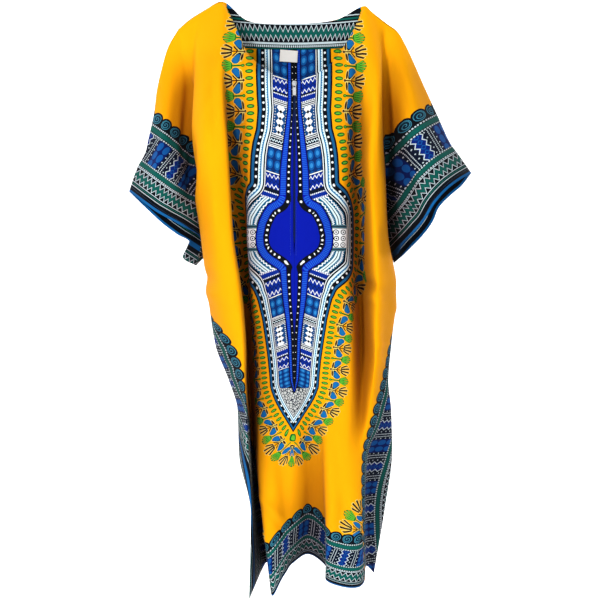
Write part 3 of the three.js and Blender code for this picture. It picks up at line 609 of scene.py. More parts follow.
def sheet_mesh(name, places, normals, faces, wall, facts):
    """A closed thin shell: the sheet outside, itself again moved in by its wall, and its edges."""
    count = len(places)
    inner = places - normals * wall
    sides = np.concatenate([faces[:, [k, (k + 1) % faces.shape[1]]] for k in range(faces.shape[1])])
    key = sides[:, 0].astype(np.int64) * count + sides[:, 1]
    back = sides[:, 1].astype(np.int64) * count + sides[:, 0]
    rim = sides[~np.isin(key, back)]
    walls = np.stack([rim[:, 1], rim[:, 0], rim[:, 0] + count, rim[:, 1] + count], axis=1)
    quads = np.concatenate([faces, faces[:, ::-1] + count, walls])
    mesh = bpy.data.meshes.new(name)
    mesh.vertices.add(2 * count)
    mesh.vertices.foreach_set("co", (np.concatenate([places, inner]) * 0.001).ravel())
    mesh.loops.add(4 * len(quads))
    mesh.loops.foreach_set("vertex_index", quads.ravel())
    mesh.polygons.add(len(quads))
    mesh.polygons.foreach_set("loop_start", np.arange(0, 4 * len(quads), 4))
    mesh.polygons.foreach_set("use_smooth", np.ones(len(quads), bool))
    for label, values in facts.items():
        layer = mesh.attributes.new(label, "FLOAT_VECTOR", "POINT")
        layer.data.foreach_set("vector", np.concatenate([values, values]).ravel())
    mesh.update()
    mesh.validate()
    return into_scene(name, mesh)


def print_facts(flat, drop, selvage, along, hem, light):
    """Where the print lies at each point of the cloth, for its material, with the painted shade of the
    folds.
    """
    half = np.abs(flat)
    line, disc = outline(MEDALLION), outline(DISC)
    away, _ = nearest(line, half, drop)
    _, round_it = nearest(outline(MEDALLION, 16), half, drop)
    leaves, ring = outline(LEAVES, 16), outline(RING, 16)
    _, by_leaves = nearest(leaves, half, drop)
    _, by_bulbs = nearest(ring, half, drop)
    # leaves and flowers stand closer round the medallion's lower half
    by_leaves = np.interp(run_along(leaves)[-1] - by_leaves, [0, 310, 1500], [0, 434, 1624])
    by_bulbs = np.interp(run_along(ring)[-1] - by_bulbs, [0, 375, 1500], [0, 535, 1660])
    inside = (half < half_width(MEDALLION, drop)) & (drop < MEDALLION[-1][0])
    disc_away, disc_along = nearest(disc, half, drop)
    in_disc = (half < half_width(DISC, drop)) & (drop < DISC[-1][0])
    from_middle = np.abs(drop - DISC_MIDDLE)
    panel = from_middle
    for _ in range(12):
        slant = np.where(drop < DISC_MIDDLE, 0.33, 0.4) * smooth((panel - 24) / 34)
        panel = 0.5 * panel + 0.5 * np.maximum(from_middle - slant * half, 0)
    panel = np.where(drop < DISC_MIDDLE, panel, np.interp(panel, LOWER_HALF, UPPER_HALF))
    disc_half = half_width(DISC, drop)
    ladder = np.minimum(14, 0.42 * disc_half)
    return {
        "cloth_place": np.stack([flat, drop, panel], axis=1),
        "border_place": np.stack([selvage, along, hem], axis=1),
        "medallion_place": np.stack([np.where(inside, away / np.interp(drop, *BANDS),
                                              -away * np.interp(drop, *RING_DRAWN)), round_it,
                                     np.where(in_disc, disc_away, -disc_away)], axis=1),
        "disc_place": np.stack([disc_along, ladder, np.zeros_like(ladder)], axis=1),
        # the third number is the painted shade of the folds, not a place in the ring
        "ring_place_and_painted_shade": np.stack([by_leaves, by_bulbs, light], axis=1),
    }


# ---- materials ----------------------------------------------------------------------------------


class Number:
    """A number that a material's nodes work out."""

    def __init__(self, tree, socket):
        self.tree, self.socket = tree, socket

    def node(self, operation, *others):
        made = self.tree.nodes.new("ShaderNodeMath")
        made.operation = operation
        for slot, value in zip(made.inputs, (self, *others)):
            if isinstance(value, Number):
                self.tree.links.new(value.socket, slot)
            else:
                slot.default_value = value
        return Number(self.tree, made.outputs[0])

    def __add__(self, other): return self.node("ADD", other)
    def __sub__(self, other): return self.node("SUBTRACT", other)
    def __mul__(self, other): return self.node("MULTIPLY", other)
    def __truediv__(self, other): return self.node("DIVIDE", other)
    def __and__(self, other): return self.node("MULTIPLY", other)
    def __or__(self, other): return self.node("MAXIMUM", other)
    def __abs__(self): return self.node("ABSOLUTE")
    def over(self, limit): return self.node("GREATER_THAN", limit)
    def under(self, limit): return self.node("LESS_THAN", limit)
    def near(self, middle, half): return self.node("COMPARE", middle, half)
    def least(self, other): return self.node("MINIMUM", other)
    def most(self, other): return self.node("MAXIMUM", other)
    def square(self): return self.node("MULTIPLY", self)
    def outside(self): return (self * -1.0) + 1.0

    def repeat(self, pitch, shift=0.0):
        """How far it is from the middle of the nearest repeat."""
        moved = self + shift if shift else self
        return moved.node("WRAP", pitch / 2, -pitch / 2)

    def zigzag(self, pitch, height):
        """Up and down between 0 and a height, once in each pitch."""
        return self.node("PINGPONG", pitch / 2) * (2 * height / pitch)

    def towards(self, other, share):
        return self + (other - self) * share


def reach(a, b):
    """The length of a step of a across and b along."""
    return (a.square() + b.square()).node("SQRT")


def dye(red, green, blue):
    """A colour given as it looks on white cloth: a dye's, and also the tint of the painted shade in the
    folds.
    """
    linear = [c / 255 / 12.92 if c <= 10 else ((c / 255 + 0.055) / 1.055) ** 2.4 for c in (red, green, blue)]
    return (*linear, 1)


YELLOW = dye(255, 172, 0)
NAVY = dye(7, 18, 38)
BLACK = dye(8, 12, 20)
ROYAL = dye(2, 22, 160)
BEAD_BLUE = dye(14, 84, 158)
DEEP_ROYAL = dye(6, 40, 142)
BULB_BLUE = dye(18, 104, 172)
LADDER_BLUE = dye(28, 88, 205)
TEAL = dye(36, 118, 168)
SEA_GREEN = dye(10, 88, 80)
SPIRAL = dye(62, 140, 165)
SPIRAL_GROUND = dye(5, 32, 50)
PALE = dye(222, 246, 252)
WHITE = dye(240, 246, 248)
SOFT_WHITE = dye(196, 214, 220)
GREEN = dye(10, 108, 34)
LIGHT_GREEN = dye(96, 184, 50)
TWIG = dye(58, 28, 14)
EDGE_BLUE = dye(16, 96, 160)
HALO = dye(226, 206, 110)


def texture(tree, kind, feature=None, **settings):
    """A texture laid on the piece's own coordinates, as a number."""
    made, coordinates = tree.nodes.new("ShaderNodeTex" + kind), tree.nodes.new("ShaderNodeTexCoord")
    if feature:
        made.feature = feature
    for name, value in settings.items():
        made.inputs[name.capitalize()].default_value = value
    tree.links.new(coordinates.outputs["Object"], made.inputs["Vector"])
    return Number(tree, made.outputs[0])


class Ink:
    """Colour laid on colour, a stencil at a time."""

    def __init__(self, tree, ground):
        self.tree, self.colour = tree, ground

    def lay(self, colour, stencil):
        mix = self.tree.nodes.new("ShaderNodeMix")
        mix.data_type = "RGBA"
        self.tree.links.new(stencil.socket, mix.inputs[0])
        if isinstance(self.colour, tuple):
            mix.inputs[6].default_value = self.colour
        else:
            self.tree.links.new(self.colour, mix.inputs[6])
        if isinstance(colour, tuple):
            mix.inputs[7].default_value = colour
        else:
            self.tree.links.new(colour, mix.inputs[7])
        self.colour = mix.outputs[2]

    def cover(self, shader):
        self.tree.links.new(self.colour, shader.inputs["Base Color"])


def fact(tree, label):
    """The three numbers that a piece keeps at each point under that label."""
    made = tree.nodes.new("ShaderNodeAttribute")
    made.attribute_name = label
    parts = tree.nodes.new("ShaderNodeSeparateXYZ")
    tree.links.new(made.outputs["Vector"], parts.inputs[0])
    return [Number(tree, out) for out in parts.outputs]


LEAF_PITCH, SPRIG_PITCH = 13.9, 59.6    # along the ring


def lay_flowers(ink, drop, away, by_leaves, by_bulbs, selvage, hem):
    """The ring of leaves, bulbs, sprigs and twigs round the medallion, and a spray in each corner."""
    side = (selvage * -1.0) + 20.0
    up = hem * -0.83
    spread = reach(side, up)
    corner = spread.under(92.0)
    out = away.towards(spread + 6.0, corner)
    turn = up.node("ARCTAN2", side) * 74.0
    place = by_bulbs.towards(turn + 14.0, corner)
    # small leaves beside the medallion
    across = by_leaves.repeat(LEAF_PITCH)
    leaf = (across / 4.2).square()
    ring = corner.outside() & away.over(3.0)
    ink.lay(GREEN, (leaf + ((out - 15.0) / 9.4).square()).under(1.0) & ring)
    ink.lay(LIGHT_GREEN, (leaf * 7.5 + ((out - 15.6) / 6.0).square()).under(1.0) & ring)
    from_sprig = abs(place.repeat(SPRIG_PITCH))
    from_twig = abs(place.repeat(SPRIG_PITCH, SPRIG_PITCH / 2))
    # beside the disc the hands are left off
    room = ((drop - 470.0) / 105.0).square().least(1.0) * 40.0 + 51.0
    grown = out.near(58.0, 33.0) & (corner | (away.over(5.0) & (out - room).under(0.0)))
    # bulbs, round by the green sprig and drawn out towards the twig
    along = from_sprig - 12.0
    drawn = along.most(0.0)
    bulb = (((out - 46.5 + drawn * 0.5) / 8.8).square() + drawn / 13.0
            + (along.least(0.0) / 7.6).square())
    ink.lay(HALO, bulb.under(1.5) & grown)
    ink.lay(NAVY, bulb.under(1.16) & grown)
    ink.lay(BULB_BLUE, bulb.under(0.9) & grown)
    # dark leaves along the bulbs
    side_leaf = (((out - 33.6 + (from_sprig - 18.0) * 0.12) / 2.5).square()
                 + ((from_sprig - 18.5) / 8.2).square())
    ink.lay(HALO, side_leaf.under(1.8) & grown)
    ink.lay(TWIG, side_leaf.under(1.0) & grown)
    # the green sprig: a knob, a stem and an open hand of five fingers
    opened = ((out - 53.0) / 9.0).most(0.0).least(2.7).node("SQRT")
    near_one, near_two = abs(from_sprig - opened * 3.7), abs(from_sprig - opened * 7.4)
    to_finger = from_sprig.least(near_one).least(near_two)
    tips = from_sprig.square() * -0.06 + 80.0
    palm = ((from_sprig / 7.0).square() + ((out - 59.0) / 4.6).square()).under(1.0)
    hand = (to_finger.under(2.3) & out.over(54.0) & (out - tips).under(0.0)) | palm
    knob = (from_sprig / 3.2).square() + ((out - 30.0) / 4.4).square()
    ink.lay(GREEN, (from_sprig.under(1.8) & out.near(45.0, 15.0) | hand | knob.under(1.0)) & grown)
    shine = to_finger.under(1.2) & out.over(57.0) & (out - tips).under(-2.4)
    ink.lay(LIGHT_GREEN, (shine | knob.under(0.2)) & grown)
    # the twig: a berry, a stem, a pair of leaves and four thin fingers
    opened = ((out - 53.0) / 8.0).most(0.0).least(3.1).node("SQRT")
    finger = abs(from_twig - opened * 2.9).least(abs(from_twig - opened * 8.6))
    leaves = abs(from_twig - (out - 43.0) * 0.9).under(1.9) & out.near(49.5, 5.0)
    stem = from_twig.under(1.2) & out.near(42.0, 14.0)
    berry = reach(from_twig, out - 28.6)
    tips = (from_twig - 4.6).square() * -0.07 + 80.0
    round_fingers = finger.under(3.2) & out.over(55.0) & (out - tips).under(0.6)
    fingers = finger.under(2.1) & out.over(56.0) & (out - tips).under(-1.0)
    ink.lay(HALO, (round_fingers | berry.under(3.4)) & grown)
    ink.lay(TWIG, (leaves | fingers | stem | berry.near(1.8, 0.9)) & grown)


def lay_medallion(ink, tree, place, away, round_it, disc_away, disc_along, ladder):
    """The medallion: outer bands, panels of small patterns, then the ladder and the disc."""
    flat, drop, panel = place
    across = abs(flat)
    inside = away.over(0.0)
    ink.lay(BLACK, inside)
    ink.lay(dye(24, 92, 144), away.near(6.3, 2.6))
    ink.lay(WHITE, reach(round_it.repeat(13.0), away - 13.2).under(2.3) & inside)
    ink.lay(PALE, away.near(22.6, 5.0))
    wave = round_it.zigzag(5.0, 2.2)
    ink.lay(TEAL, away.near(22.6, 1.3) | abs(away - 20.6 - wave).under(0.9))
    ink.lay(WHITE, away.near(31.4, 0.8))
    # panels: how far across one a point lies, from 0 at the outer bands to 1 at the ladder
    within = away.over(33.4) & disc_away.under(-2.6)
    from_outer = away - 33.0
    share = from_outer / (from_outer - disc_away)
    ink.lay(NAVY, within)
    # beads in two columns
    beads = (panel.near(140.0, 24.5) | panel.near(354.0, 46.0)) & within
    middle = abs(share - 0.5) - 0.24
    bead = (middle / 0.2).square() + (panel.repeat(21.0, -4.0) / 9.6).square()
    ink.lay(dye(6, 44, 104), beads)
    ink.lay(BEAD_BLUE, bead.under(1.0) & beads)
    ink.lay(dye(44, 132, 200), bead.under(0.28) & beads)
    # zigzags
    teeth = across.zigzag(8.0, 7.0)
    for top, base, middle_at in ((29.0, 82.0, 96.5), (27.0, 277.0, 290.5)):
        zone = panel.near(middle_at, top / 2) & within
        ink.lay(DEEP_ROYAL, zone)
        low = abs(panel - base - 1.0 - teeth).under(1.15)
        high = abs(panel - base - top + 1.6 + teeth).under(1.15)
        mid = abs(panel - middle_at + 3.5 - teeth).under(1.0)
        ink.lay(NAVY, mid & zone)
        ink.lay(WHITE, (low | high) & zone)
    ink.lay(WHITE, (panel.near(113.2, 1.0) | panel.near(164.6, 1.0) | panel.near(306.0, 1.1)) & within)
    # royal bars between rows of white dots
    bars = (panel.near(67.4, 6.4) | panel.near(267.0, 6.0)) & within
    ink.lay(DEEP_ROYAL, bars)
    dotted = panel.near(62.4, 1.3) | panel.near(73.0, 1.3) | panel.near(260.5, 1.2) | panel.near(272.2, 1.2)
    ink.lay(WHITE, dotted & across.repeat(3.6).near(0.0, 1.1) & within)
    # narrow stripes
    stripes = (panel.near(186.5, 3.6) | panel.near(169.5, 3.6) | panel.near(254.6, 4.2)) & within
    ink.lay(WHITE, stripes & panel.repeat(3.9).near(0.0, 0.75))
    weave = abs(panel - 175.6 - across.zigzag(5.2, 4.2)).under(1.0)
    ink.lay(PALE, weave & panel.near(178.0, 4.2) & within)
    # a column of white diamonds
    diamonds = panel.near(220.6, 28.5) & within
    step = panel.repeat(14.0)
    from_column = abs(share - 0.5)
    shape = from_column * 30.0
    ink.lay(dye(16, 66, 120), diamonds)
    star = shape - abs(step) * 0.8 - 1.4
    ink.lay(WHITE, star.under(1.6) & shape.under(8.6) & diamonds)
    ink.lay(BLACK, (shape + abs(step)).under(4.0) & diamonds)
    dots = reach(panel.repeat(5.6), (from_column - 0.4) * 30.0).under(0.95)
    ink.lay(WHITE, dots & diamonds)
    ink.lay(WHITE, (panel.near(191.0, 0.8) | panel.near(250.0, 0.8)) & within)
    # the curved panels beside the disc, and the square between them
    curved = panel.near(43.3, 17.8) & within
    ink.lay(dye(14, 92, 128), curved & share.near(0.5, 0.4))
    ink.lay(PALE, curved & share.near(0.5, 0.13))
    ink.lay(NAVY, curved & share.near(0.5, 0.025))
    ripple = round_it.zigzag(5.6, 0.1)
    ink.lay(WHITE, curved & (abs(share - 0.17 - ripple).under(0.045)
                             | abs(share - 0.76 - ripple).under(0.045)))
    bars = panel.near(22.5, 3.2) & within
    ink.lay(dye(70, 110, 125), bars)
    ink.lay(NAVY, bars & panel.near(22.5, 0.8))
    square = panel.under(18.6) & within
    ink.lay(WHITE, square)
    curl = drop.repeat(12.4, -0.6)
    curl_across = abs(share - 0.5) * 28.0 - 6.6
    ink.lay(NAVY, square & (reach(curl, curl_across).near(4.3, 0.8) | reach(curl, curl_across).under(1.5)))
    # the mottled point below the panels
    point = drop.over(764.0) & away.over(33.4)
    crack = texture(tree, "Voronoi", feature="DISTANCE_TO_EDGE", scale=210.0)
    ink.lay(dye(198, 202, 200), point)
    ink.lay(dye(40, 48, 60), point & crack.under(0.11))
    # the ladder band, the black band with white dots, and the disc
    disc = disc_away.over(-2.6)
    ink.lay(BLACK, disc & away.over(30.0))
    heart = disc_away.over(-0.6) & away.over(30.0)
    ink.lay(ROYAL, heart)
    rung = disc_along.repeat(3.6).near(0.0, 1.15)
    ink.lay(LADDER_BLUE, heart & rung & abs(disc_away - ladder * 0.5).under(ladder * 0.42))
    dark = disc_away - ladder
    band = (ladder * 0.8).most(7.0)
    ink.lay(BLACK, dark.over(0.0) & heart)
    ink.lay(WHITE, (reach(disc_along.repeat(12.6), dark - band * 0.5) - ladder * 0.17).under(0.0) & heart)
    ink.lay(ROYAL, (dark - band).over(0.0) & heart)


SPIRAL_PITCH, SPIRAL_MIDDLE, BLOCK_PITCH = 23.0, 12.6, 84.0


def lay_border(ink, across, along):
    """The border down the selvages, on the cuffs and along the hem, from its scallops outwards."""
    step = along.repeat(SPIRAL_PITCH)
    round_spiral = reach(step, across - SPIRAL_MIDDLE)
    ink.lay(BLACK, across.over(SPIRAL_MIDDLE) | round_spiral.under(12.9))
    ink.lay(SPIRAL_GROUND, round_spiral.under(8.6))
    turn = (across - SPIRAL_MIDDLE).node("ARCTAN2", step)
    coil = (round_spiral - turn * (4.4 / (2 * math.pi))).node("WRAP", 2.2, -2.2)
    ink.lay(SPIRAL, (abs(coil).under(0.6) & round_spiral.under(7.4)) | round_spiral.near(8.6, 0.55))
    dots = along.repeat(4.6).near(0.0, 1.4)
    rows = (across.near(25.6, 1.35) | across.near(39.6, 1.2) | across.near(93.2, 1.2)
            | across.near(105.0, 1.2))
    ink.lay(SEA_GREEN, across.near(32.6, 4.4) | across.near(99.0, 3.8))
    ink.lay(SOFT_WHITE, rows & dots)
    # blocks
    block = across.near(66.4, 25.0)
    ink.lay(NAVY, block)
    side = abs(along.repeat(BLOCK_PITCH))
    ink.lay(dye(5, 32, 112), block & side.under(8.0))
    cell = across.repeat(11.0)
    ink.lay(BEAD_BLUE, block & (side + abs(cell) * 0.9).near(3.6, 0.8))
    ripple = across.zigzag(13.0, 5.0)
    ink.lay(SOFT_WHITE, block & abs(side - 5.0 - ripple).under(0.95))
    lines = side.near(18.6, 0.8) | side.near(23.4, 0.8)
    ink.lay(SOFT_WHITE, block & lines & across.repeat(3.6).near(0.0, 1.1))
    ink.lay(SOFT_WHITE, block & reach(side - 13.4, across.repeat(11.0)).under(1.2))
    column = abs(along.repeat(BLOCK_PITCH, BLOCK_PITCH / 2))
    oval = ((column - 6.4) / 5.0).square() + (across.repeat(19.0, 5.0) / 8.8).square()
    ink.lay(dye(5, 28, 92), block & column.under(13.0))
    ink.lay(BEAD_BLUE, block & oval.under(1.0))
    ink.lay(SOFT_WHITE, block & reach(column - 14.8, across.repeat(11.0, 3.0)).under(1.2))
    # teeth either side of a green zigzag
    teeth = along.zigzag(10.8, 9.0)
    middle = across - 116.6 - teeth
    ink.lay(SEA_GREEN, across.near(121.0, 12.4) & abs(middle).under(4.4))
    band = across.near(121.0, 12.6)
    ink.lay(SOFT_WHITE, (abs(middle + 7.0).under(1.15) | abs(middle - 7.0).under(1.15)) & band)
    ink.lay(SOFT_WHITE, across.near(107.4, 0.6) | across.near(134.6, 0.6) | across.near(141.6, 0.6))
    ink.lay(SEA_GREEN, across.near(138.0, 1.0))
    ink.lay(EDGE_BLUE, across.near(154.0, 2.6))


def weave_bump(tree, flat, drop, fine, strength):
    """Threads over and under, with slubs here and there, as a bump."""
    threads = (flat * (math.pi / fine)).node("SINE") * (drop * (math.pi / fine)).node("SINE")
    height = threads * 0.25 + texture(tree, "Noise", scale=38.0, detail=3.0) * 4.0
    bump = tree.nodes.new("ShaderNodeBump")
    bump.inputs["Strength"].default_value = strength
    bump.inputs["Distance"].default_value = 0.00045
    tree.links.new(height.socket, bump.inputs["Height"])
    return bump.outputs[0]


def new_material(name, roughness, specular=0.3):
    material = bpy.data.materials.new(name)
    material.use_nodes = True
    tree = material.node_tree
    shader = tree.nodes["Principled BSDF"]
    shader.inputs["Roughness"].default_value = roughness
    shader.inputs["Specular IOR Level"].default_value = specular
    return material, tree, shader


def printed_cotton():
    material, tree, shader = new_material("printed_cotton", 0.8, 0.06)
    shader.inputs["Sheen Weight"].default_value = 0.02
    shader.inputs["Sheen Roughness"].default_value = 0.5
    flat, drop, panel = fact(tree, "cloth_place")
    selvage, along, hem = fact(tree, "border_place")
    away, round_it, disc_away = fact(tree, "medallion_place")
    disc_along, ladder, _ = fact(tree, "disc_place")
    ink = Ink(tree, YELLOW)
    # the yellow's dye is a little uneven
    cloud = texture(tree, "Noise", scale=7.0)
    ink.lay(dye(246, 160, 0), cloud * 0.55)
    # the places of the leaves and bulbs, and the painted shade of the folds
    by_leaves, by_bulbs, light = fact(tree, "ring_place_and_painted_shade")
    lay_flowers(ink, drop, away * -1.0, by_leaves, by_bulbs, selvage, hem)
    lay_medallion(ink, tree, (flat, drop, panel), away, round_it, disc_away, disc_along, ladder)
    seam = abs(flat).under(0.55) & drop.over(500.0) & drop.under(690.0)
    ink.lay(dye(4, 16, 60), seam & cloud)
    on_selvage = selvage.over(0.0)
    # past its edge the selvage's border comes again, turned round
    turned = selvage.least(selvage * -1.0 + 312.0)
    blocks = (selvage - 258.0).node("PINGPONG", 34.0) + 54.0
    selvage = turned.towards(blocks, selvage.over(258.0))
    lay_border(ink, hem.towards(selvage, on_selvage), flat.towards(along, on_selvage))
    # painted shade: the print is darkened in the folds, by how little of the room ahead each point sees
    painted_fold_shade = tree.nodes.new("ShaderNodeMix")
    painted_fold_shade.data_type, painted_fold_shade.blend_type = "RGBA", "MULTIPLY"
    painted_fold_shade.inputs[7].default_value = dye(120, 80, 92)
    tree.links.new(light.outside().socket, painted_fold_shade.inputs[0])
    tree.links.new(ink.colour, painted_fold_shade.inputs[6])
    tree.links.new(painted_fold_shade.outputs[2], shader.inputs["Base Color"])
    tree.links.new(weave_bump(tree, flat, drop, 0.55, 0.5), shader.inputs["Normal"])
    return material


def border_print():
    material, tree, shader = new_material("border_print", 0.8, 0.06)
    selvage, along, _ = fact(tree, "border_place")
    ink = Ink(tree, NAVY)
    lay_border(ink, selvage, along)
    ink.cover(shader)
    tree.links.new(weave_bump(tree, along, selvage, 0.55, 0.5), shader.inputs["Normal"])
    return material


def plain_weave(name, colour, dark, fine, roughness):
    """A plain woven finish for the label and the zip tape."""
    material, tree, shader = new_material(name, roughness)
    coordinates = tree.nodes.new("ShaderNodeTexCoord")
    parts = tree.nodes.new("ShaderNodeSeparateXYZ")
    tree.links.new(coordinates.outputs["Object"], parts.inputs[0])
    x, _, z = (Number(tree, out) * 1000.0 for out in parts.outputs)
    ink = Ink(tree, colour)
    ribs = ((x * (math.pi / fine)).node("SINE") * (z * (math.pi / fine)).node("SINE") + 1.0) * 0.5
    ink.lay(dark, ribs * 0.5)
    ink.cover(shader)
    tree.links.new(weave_bump(tree, x, z, fine, 0.6), shader.inputs["Normal"])
    return material


def worn_metal():
    material, tree, shader = new_material("zip_metal", 0.3, 0.5)
    shader.inputs["Metallic"].default_value = 0.55
    scuffs = texture(tree, "Noise", scale=420.0, detail=4.0)
    ink = Ink(tree, dye(238, 240, 243))
    ink.lay(dye(190, 194, 200), scuffs)
    ink.cover(shader)
    tree.links.new((scuffs * 0.3 + 0.16).socket, shader.inputs["Roughness"])
    return material


def sewing_thread():
    material, tree, shader = new_material("sewing_thread", 0.6)
    ink = Ink(tree, dye(20, 34, 70))
    ink.lay(dye(60, 96, 140), texture(tree, "Noise", scale=900.0))
    ink.cover(shader)
    return material


# ---- the pieces ---------------------------------------------------------------------------------

front = Panel(FRONT_FOLDS, "front")
back_folds = []
for fold in BACK_FOLDS:
    same = next((f for f in FRONT_FOLDS if f["line"] == fold["line"]), None)
    if fold["line"] in ("leftSeam", "rightSeam"):
        fold = {**same, "chest": fold["chest"], "bust": fold["bust"]}
    back_folds.append(fold)
back = Panel(back_folds, "back")
sew(front, back)
for panel, creases in ((front, FRONT_CREASES), (back, BACK_CREASES)):
    # a crease fades out at the seams and at the zip, where the cloth is held
    hold = np.ones(len(panel.places))
    for hand in ("left", "right"):
        for seam in panel.seam(hand):
            apart = panel.places[:, None, ::2] - panel.places[seam][None, ::6, ::2]
            hold = np.minimum(hold, smooth(np.linalg.norm(apart, axis=2).min(axis=1) / 30))
    if panel.side == "front":
        beside = np.hypot(panel.places[:, 0], np.maximum(-panel.places[:, 2] - 504, 0))
        hold = np.minimum(hold, smooth((beside - 14) / 20))
    panel.places = creased(panel.places, panel.normals, creases, hold)
    seams = np.concatenate([s for hand in ("left", "right") for s in panel.seam(hand)])
    kept = panel.normals[seams].copy()
    panel.normals = point_normals(panel.places, panel.faces)
    panel.normals[seams] = kept


# painted shade in the folds: the drop it starts from, the drop over which it comes in, and its depth
SHADE_FROM, SHADE_OVER, SHADE = 70, 80, 0.8    # the folds are shaded from that drop on, and how much
LIGHT_ROUNDS = 5


def cloth_piece(name, panel):
    # painted shade: each point is darkened by how little of the room ahead it sees over the folds beside it,
    # then evened out
    light = smooth(open_to_light(panel.places, -1 if panel.side == "front" else 1) * 1.35 - 0.3)
    light = 1 - SHADE * (1 - light) * smooth((panel.drop - SHADE_FROM) / SHADE_OVER)
    for _ in range(LIGHT_ROUNDS):
        light = evened(light, panel.faces)
    facts = print_facts(panel.flat, panel.drop, panel.selvage, panel.along, panel.hem, light)
    return sheet_mesh(name, panel.places, panel.normals, panel.faces, CLOTH, facts)


front_cloth = cloth_piece("front_cloth", front)
back_cloth = cloth_piece("back_cloth", back)

# The facing is a straight strip inside the back neck, and hangs free at its lower edge.
first, last = SHOULDER + 2, back.index.shape[1] - SHOULDER - 2
FACING_ROWS, FACING_LIFT, FACING_HANG, TAB_WALL = 16, 0.9, 0.9, 0.5
facing_places, facing_normals = [], []
for column in back.index[:, first:last].T:
    top = back.drop[column[0]] + 0.4
    drops = top + (FACING_DROP[-1] - top) * np.linspace(0, 1, FACING_ROWS)
    facing_places.append([[np.interp(d, back.drop[column], back.places[column, k]) for k in range(3)]
                          for d in drops])
    facing_normals.append([[np.interp(d, back.drop[column], back.normals[column, k]) for k in range(3)]
                           for d in drops])
facing_places = np.array(facing_places).transpose(1, 0, 2)
facing_normals = unit(np.array(facing_normals).transpose(1, 0, 2))
hang = FACING_LIFT + FACING_HANG * smooth(np.linspace(0, 1, FACING_ROWS))
facing_places -= facing_normals * hang[:, None, None]
index = np.arange(facing_places[..., 0].size).reshape(facing_places.shape[:2])
facing_across = np.interp(-facing_places[..., 2], FACING_DROP, FACING_AS_SELVAGE).ravel()
facing_along = np.tile(back.flat[back.index[0, first:last]], FACING_ROWS)
facing_cloth = sheet_mesh(
    "facing_cloth", facing_places.reshape(-1, 3), facing_normals.reshape(-1, 3), Panel.quads(index)[:, ::-1],
    TAB_WALL, {"border_place": np.stack([facing_across, facing_along, np.zeros(index.size)], axis=1)})


def grid_mesh(name, places, turned, wall):
    """A thin sheet made from rows of points."""
    rows, columns = places.shape[:2]
    quads = Panel.quads(np.arange(rows * columns).reshape(rows, columns))
    quads = quads[:, ::-1] if turned else quads
    points = places.reshape(-1, 3)
    return sheet_mesh(name, points, point_normals(points, quads), quads, wall, {})


# The label is a plain folded tab, sewn on at its top edge and a little curled at its lower one.
LABEL_WIDTH, LABEL_HEIGHT, LABEL_X, LABEL_DROP = 36, 24, -11, 83.5
LABEL_LIFT, LABEL_CURL = 3.2, 1.6
tilt = math.radians(-4)
across, down = np.meshgrid((np.linspace(0, 1, 25) - 0.5) * LABEL_WIDTH,
                           -np.linspace(0, 1, 19) * LABEL_HEIGHT)
grid = np.stack([LABEL_X + across * math.cos(tilt) - down * math.sin(tilt), np.zeros_like(across),
                 -LABEL_DROP + across * math.sin(tilt) + down * math.cos(tilt)], axis=-1)
back_near = back.places[back.index[:UPPER // 2]].reshape(-1, 3)
back_near = back_near[np.abs(back_near[:, 0] - LABEL_X) < 40]
for row in grid:
    for point in row:
        gap = (back_near[:, 0] - point[0]) ** 2 + (back_near[:, 2] - point[2]) ** 2
        nearest_four = np.argsort(gap)[:4]
        weight = 1 / (gap[nearest_four] + 1)
        point[1] = (back_near[nearest_four, 1] * weight).sum() / weight.sum()
grid[..., 1] -= LABEL_LIFT + LABEL_CURL * np.linspace(0, 1, 19)[:, None] ** 2
label_tab = grid_mesh("label_tab", grid, True, TAB_WALL)


TAPE_WIDTH, TAPE_BEHIND, TAPE_EDGE, TAPE_WALL = 12, 1.9, 1.2, 0.6


def tape(hand):
    """One side of the zip's tape, behind the front's edge."""
    sign = -1 if hand == "left" else 1
    edge = front.index[:ZIP_END + 1, front.centre] if hand == "left" else front.right_edge[:ZIP_END + 1]
    columns = [edge] + [front.index[:ZIP_END + 1, front.centre + sign * k] for k in range(1, 12)]
    sheet = front.places[np.stack(columns, axis=1)]
    normals = front.normals[np.stack(columns, axis=1)]
    out = []
    for points, normal in zip(sheet, normals):
        run = run_along(points)
        at_run = np.linspace(0, TAPE_WIDTH, 7)
        p = np.stack([np.interp(at_run, run, points[:, k]) for k in range(3)], axis=1)
        n = np.stack([np.interp(at_run, run, normal[:, k]) for k in range(3)], axis=1)
        p = p - unit(n) * TAPE_BEHIND
        p[0, 0] = sign * TAPE_EDGE
        out.append(p)
    out = np.array(out)
    return grid_mesh(f"zip_tape_{hand}_cloth", out[:, ::sign], False, TAPE_WALL)


tape_left, tape_right = tape("left"), tape("right")


# ---- stitches and teeth -------------------------------------------------------------------------


def socket_name(tree, label):
    return next(item.identifier for item in tree.interface.items_tree
                if item.item_type == "SOCKET" and item.in_out == "INPUT" and item.name == label)


